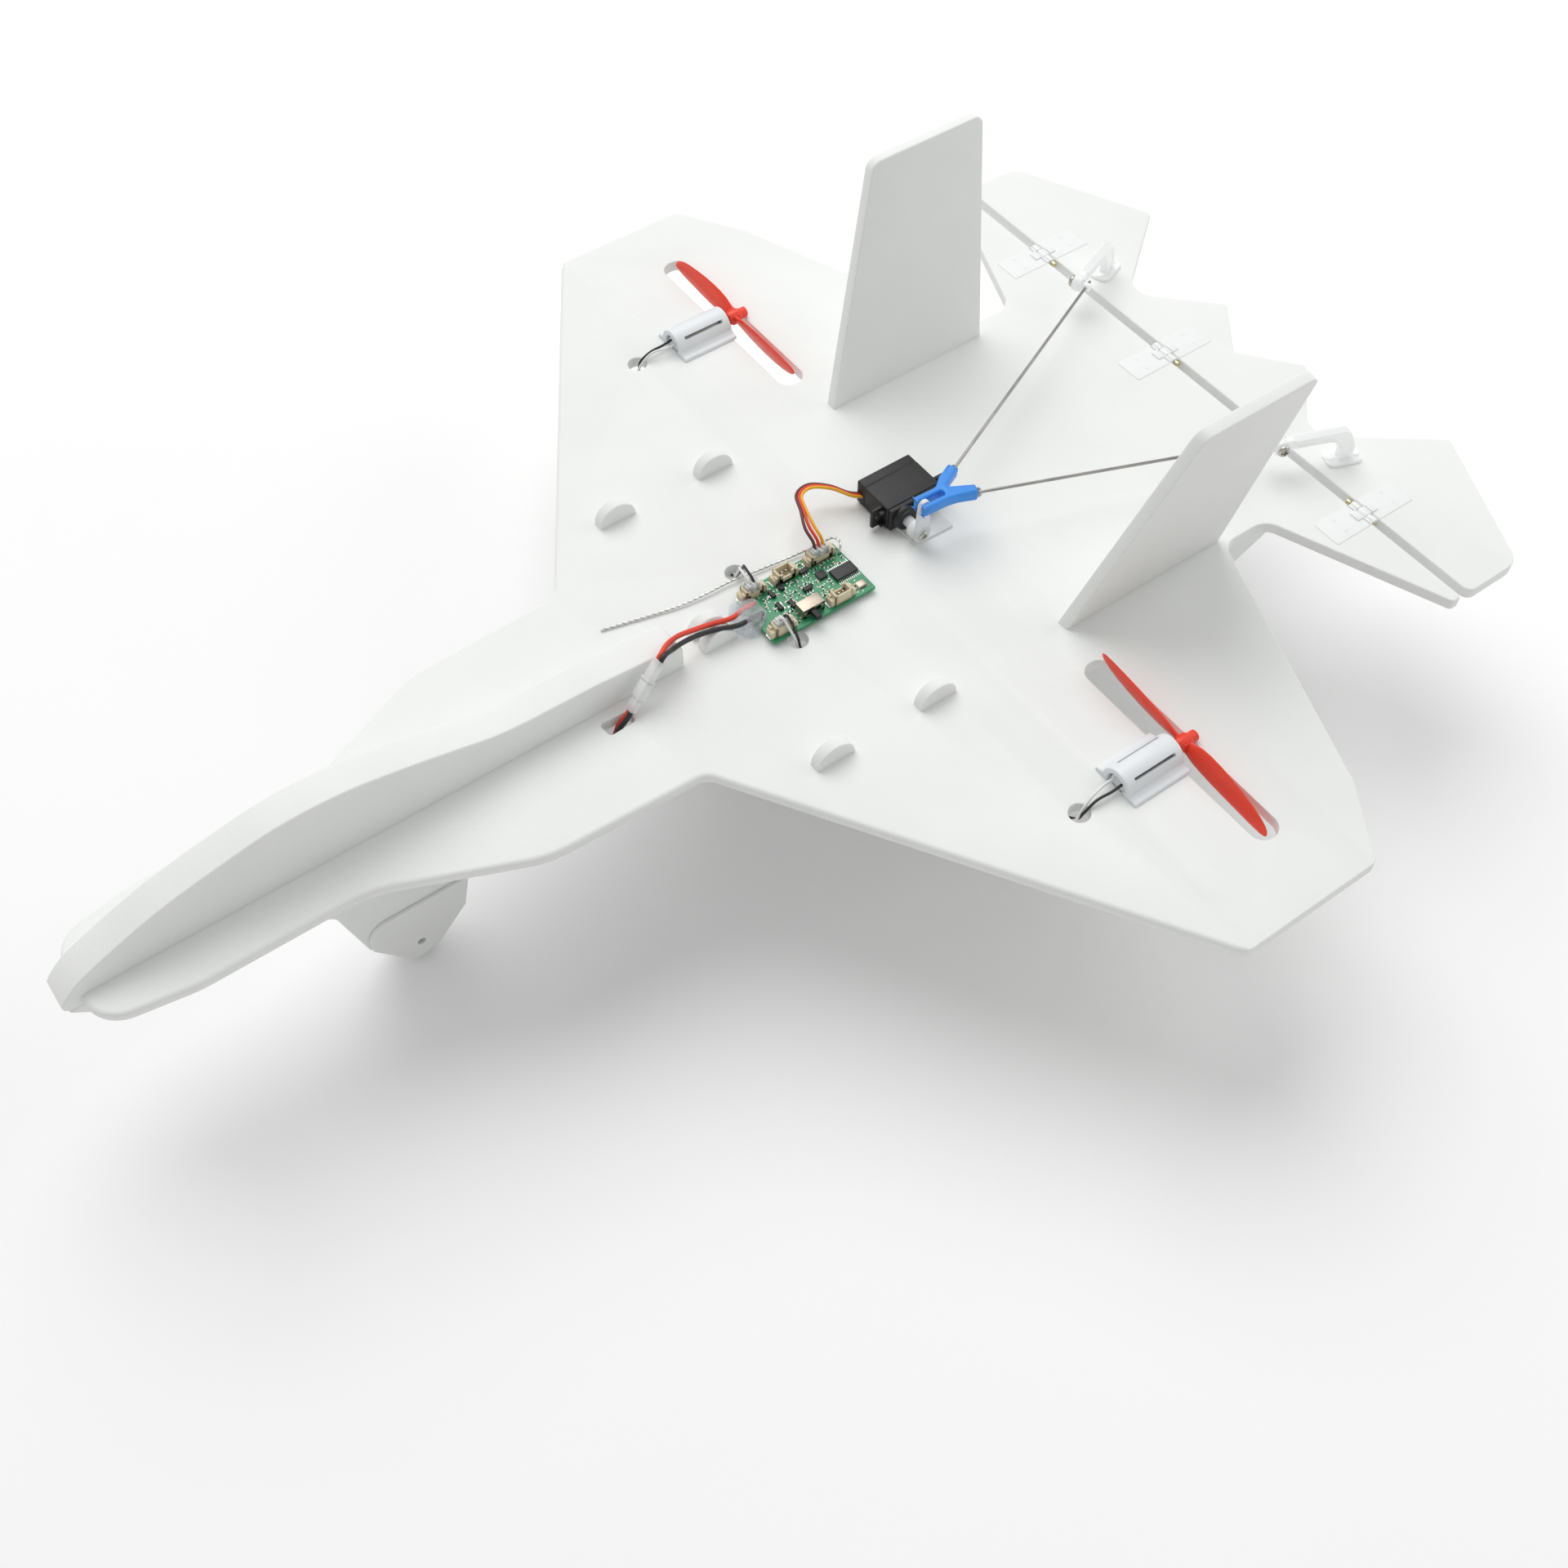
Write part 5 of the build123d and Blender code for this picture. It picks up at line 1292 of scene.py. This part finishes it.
def motor_lead(side, off):
    socket = MOTOR_SOCKETS[1] if side == 1 else MOTOR_SOCKETS[0]
    sx, sy = socket[0], socket[1] + off
    path = [
        (side * (MOTOR_X + off * 1.9), 1.6, 6.2 + 0.5 * abs(off)),
        (side * (MOTOR_X + off * 1.8), -2.0, 6.4 + (0.4 if off < 0 else -0.4)),
        (side * (MOTOR_X + 0.3 + off * 1.0), -7.5, 6.2 + (0.5 if off < 0 else -0.3)),
        (side * (WING_HOLE[0] + off * 0.6), WING_HOLE[1] + 1.2, 3.4),
        (side * (WING_HOLE[0] - 0.5), WING_HOLE[1] + off * 0.6 - 0.2, 0.4),
        (side * (WING_HOLE[0] - 4.0), WING_HOLE[1] - 1.6 + off * 0.7, -1.1),
        (side * 84.0, -20.6 + off * 0.7, -0.9),
        (side * 56.5, -28.5 + off * 0.7, -1.4),
        (side * 34.0, -35.0 + off * 0.7, -0.9),
        (side * 20.0, -38.6 + off * 0.7, -0.9),
        (side * 17.0, BODY_HOLE[1] + off * 0.6, 0.8),
    ]
    if side == 1:
        path += [(side * 16.2, -39.6 + off * 0.6, 4.2), (14.6, sy + 1.2, 9.6),
                 (13.0, sy + 0.3, PCB_TOP + 6.6), (sx + 0.2, sy, PCB_TOP + 6.0), (sx, sy, PCB_TOP + 4.2)]
    else:
        path += [(-14.9, -39.3 + off * 0.6, 4.6), (-12.8, -39.2 + off, 9.2), (-10.2, sy + 0.5, 12.6),
                 (-7.6, sy, 13.0), (sx - 0.6, sy, PCB_TOP + 5.8), (sx, sy, PCB_TOP + 4.2)]
    return path


wire("motor_wires_white", [motor_lead(1, -0.75), motor_lead(-1, -0.75)], 0.42, WIRE_WHITE,
     ["motor_leads_white"])
wire("motor_wires_black", [motor_lead(1, 0.75), motor_lead(-1, 0.75)], 0.42, WIRE_BLACK,
     ["motor_leads_black"])


def servo_wire(i):
    y = SERVO_SOCKET[1] + (i - 1) * HEADER_PITCH
    k = i - 1
    return [(SERVO_BOX[0] + 2.2 + k * 0.9, SERVO_BOX[2] + 1.0, SERVO_Z0 + 3.4),
            (-18.2 + k * 0.9, 6.0, SERVO_Z0 + 4.2), (-22.4 + k * 0.8, 1.0, 11.4),
            (-24.6 + k * 0.8, -5.4, 13.8), (-21.6 + k * 0.7, -11.6 + k * 0.5, 16.0),
            (-15.6, -14.4 + k * 0.9, 16.6), (-9.6, y, 15.4), (-5.6, y, PCB_TOP + 7.0),
            (SERVO_SOCKET[0], y, PCB_TOP + 4.2)]


wire("servo_wire_brown", [servo_wire(0)], 0.5, WIRE_BROWN, ["servo_lead_brown"])
wire("servo_wire_red", [servo_wire(1)], 0.5, WIRE_RED, ["servo_lead_red"])
wire("servo_wire_orange", [servo_wire(2)], 0.5, WIRE_ORANGE, ["servo_lead_orange"])


def build_antenna():
    path = smooth_path([(-2.6, -10.6, PCB_TOP + 0.3), (-2.8, -9.8, PCB_TOP + 1.4),
                        (-4.4, -8.6, PCB_TOP + 2.2), (-7.4, -8.8, PCB_TOP + 1.8),
                        (-9.4, -12.4, PCB_TOP - 0.2), (-10.4, -20.0, 5.2), (-12.2, -34.0, 5.0),
                        (-13.2, -43.5, 5.2), (-13.5, -52.8, 5.0), (-14.4, -61.0, 4.8), (-16.9, -71.5, 4.65),
                        (-20.2, -84.6, 4.55)], 40)
    length = 0.0
    strands = [[], [], []]
    last = path[0]
    for p, u, v in frames_along(path):
        length += (p - last).length
        last = p
        for k in range(3):
            a = length * 2 * math.pi / 1.9 + k * 2 * math.pi / 3
            strands[k].append(p + (u * math.cos(a) + v * math.sin(a)) * 0.22)
    bright = bmesh.new()
    dark = bmesh.new()
    tube_bm(bright, strands[0], 0.27, 8)
    tube_bm(bright, strands[1], 0.27, 8)
    tube_bm(dark, strands[2], 0.22, 8)
    emit("antenna_bright_strands", bright, BRAID, ["antenna_wire"], angle=60)
    emit("antenna_dark_strand", dark, BRAID_DARK, angle=60)


PLUG_TOP = Vector((8.4, -81.9, 17.2))
PLUG_FOOT = Vector((11.0, -94.4, 5.8))


def build_battery_line():
    along = (PLUG_FOOT - PLUG_TOP).normalized()
    length = (PLUG_FOOT - PLUG_TOP).length
    m = axis_matrix(PLUG_TOP, along, (1, 0, 0.35))
    bm = bmesh.new()
    pad_bm(bm, 0, 0, 1.75, 1.15, 0.0, length * 0.42, 0.35, m)
    pad_bm(bm, 0, 0, 2.05, 1.5, length * 0.36, length * 0.42, 0.25, m)
    emit("battery_plug_shell", bm, NYLON, ["battery_plug"])
    bm = bmesh.new()
    pad_bm(bm, 0, 0, 2.0, 1.4, length * 0.425, length * 0.76, 0.4, m)
    pad_bm(bm, 0, 0, 1.7, 1.15, length * 0.74, length, 0.35, m)
    box_bm(bm, -0.6, 0.6, -1.75, -1.25, length * 0.45, length * 0.7, 0.15, m)
    emit("battery_socket_shell", bm, NYLON, ["battery_socket"])
    red = []
    black = []
    runs = (
        (red, -1, [(-0.4, -43.4, 7.4), (0.3, -47.5, 8.4), (1.6, -52.6, 9.0), (1.3, -59.0, 10.6),
                   (1.4, -65.0, 12.3),
                   (1.9, -71.3, 14.2), (3.9, -76.4, 16.0)]),
        (black, 1, [(4.2, -43.4, 7.4), (4.7, -47.5, 8.4), (5.0, -52.8, 9.0), (3.6, -59.0, 10.2),
                    (2.9, -65.2, 11.2),
                    (4.0, -71.4, 13.2), (5.9, -76.0, 15.2)]),
    )
    for store, off, run in runs:
        top = m @ Vector((off * 0.8, 0, 1.5))
        above = m @ Vector((off * 0.8, 0, -1.6))
        aside = Vector((0.75, -0.54, 0)) * off
        foot = m @ Vector((0, 0, length - 1.0)) + aside
        below = m @ Vector((0, 0, length + 1.6)) + aside
        store.append(run + [above, top])
        store.append([foot, below, Vector((10.7, -98.6, 0.8)) + aside, Vector((11.0, -101.8, -5.0)) + aside,
                      (10.6 + off * 0.85, -107.0, -9.2), (9.6 + off * 0.9, -112.6, -9.5)])
    wire("battery_wire_red", red, 0.78, WIRE_RED, ["battery_lead_red"])
    wire("battery_wire_black", black, 0.78, WIRE_BLACK, ["battery_lead_black"])
    bm = bmesh.new()
    box_bm(bm, 6.0, 12.8, -150, -112, -18.0, -1.0, 1.5)
    for z in (-15.8, -3.2):
        box_bm(bm, 8.2, 10.6, -152.2, -149, z - 1.8, z + 1.8, 0.2)
    emit("battery_cell_pouch", bm, PACK, ["battery_cell"])
    bm = bmesh.new()
    box_bm(bm, 5.2, 6.05, -146, -116, -15.5, -3.5, 0.15)
    emit("battery_tape_pad", bm, TAPE, ["battery_pad"])


def build_glue():
    bm = bmesh.new()
    bmesh.ops.create_icosphere(bm, subdivisions=5, radius=1.0)
    shift = Vector((3.1, 5.7, 1.3))
    for v in bm.verts:
        n = v.co.normalized()
        wobble = 1 + 0.16 * field_noise.noise(n * 1.7 + shift) + 0.07 * field_noise.noise(n * 4.1 + shift)
        z = n.z * 3.6 if n.z > 0 else n.z * 1.0
        v.co = Vector((1.9 + n.x * 6.0 * wobble, -47.3 + n.y * 5.4 * wobble, 6.4 + z * wobble))
        floor = T + 0.02 if v.co.y < PCB_BOX[2] - 0.1 else PCB_TOP + 0.02
        if v.co.z < floor or (n.z <= 0 and v.co.y < PCB_BOX[2] - 0.1):
            v.co.z = floor
    emit("hot_glue_blob", bm, GLUE, ["glue_blob"], angle=80)


def build_spar():
    bm = bmesh.new()
    lathe_bm(bm, rod_profile(0.98, -156, 156, 0.1), axis_matrix((0, 0, 2.0), (1, 0, 0)), 20)
    emit("wing_spar_rod", bm, CARBON, ["wing_spar"])


build_antenna()
build_battery_line()
build_glue()
build_spar()

# ---------------------------------------------------------------- stage, light, camera


FLOOR_Z = -0.0635
FLOOR_HALF = 4.0
CAMERA_LENS = 41.27
CAMERA_PLACE = (0.2899, -0.2409, 0.4108)
CAMERA_LOOK = Vector((-0.46925, 0.33700, -0.81623))
LIGHT_AIM = Vector((0, -0.04, 0))


def build_stage():
    mesh = bpy.data.meshes.new("studio_floor")
    s, z = FLOOR_HALF, FLOOR_Z
    mesh.from_pydata([(-s, -s, z), (s, -s, z), (s, s, z), (-s, s, z)], [], [(0, 1, 2, 3)])
    floor = bpy.data.objects.new("studio_floor", mesh)
    mesh.materials.append(surface("studio_white", (0.97, 0.97, 0.97), 0.7, 30, 0.02, 0.01))
    bpy.context.scene.collection.objects.link(floor)
    world = bpy.data.worlds.new("studio")
    bpy.context.scene.world = world
    world.use_nodes = True
    world.node_tree.nodes["Background"].inputs["Color"].default_value = (1.0, 1.0, 1.0, 1.0)
    world.node_tree.nodes["Background"].inputs["Strength"].default_value = 0.5
    lights = (
        ("key", (-1.5, 0.35, 2.4), 2.8, 53.0),
        ("rim", (0.3, 1.1, 0.7), 0.9, 2.5),
    )
    for name, place, size, power in lights:
        data = bpy.data.lights.new(name, "AREA")
        data.shape = "DISK"
        data.size = size
        data.energy = power
        lamp = bpy.data.objects.new(name, data)
        bpy.context.scene.collection.objects.link(lamp)
        lamp.location = place
        lamp.rotation_euler = (LIGHT_AIM - Vector(place)).to_track_quat("-Z", "Y").to_euler()


def build_camera():
    data = bpy.data.cameras.new("camera")
    data.lens = CAMERA_LENS
    data.sensor_width = 36.0
    data.clip_start = 0.01
    data.clip_end = 50.0
    cam = bpy.data.objects.new("camera", data)
    bpy.context.scene.collection.objects.link(cam)
    cam.location = CAMERA_PLACE
    cam.rotation_mode = "QUATERNION"
    cam.rotation_quaternion = CAMERA_LOOK.to_track_quat("-Z", "Y")
    bpy.context.scene.camera = cam


build_stage()
build_camera()
view = bpy.context.scene.view_settings
view.view_transform = "Standard"
view.look = "None"
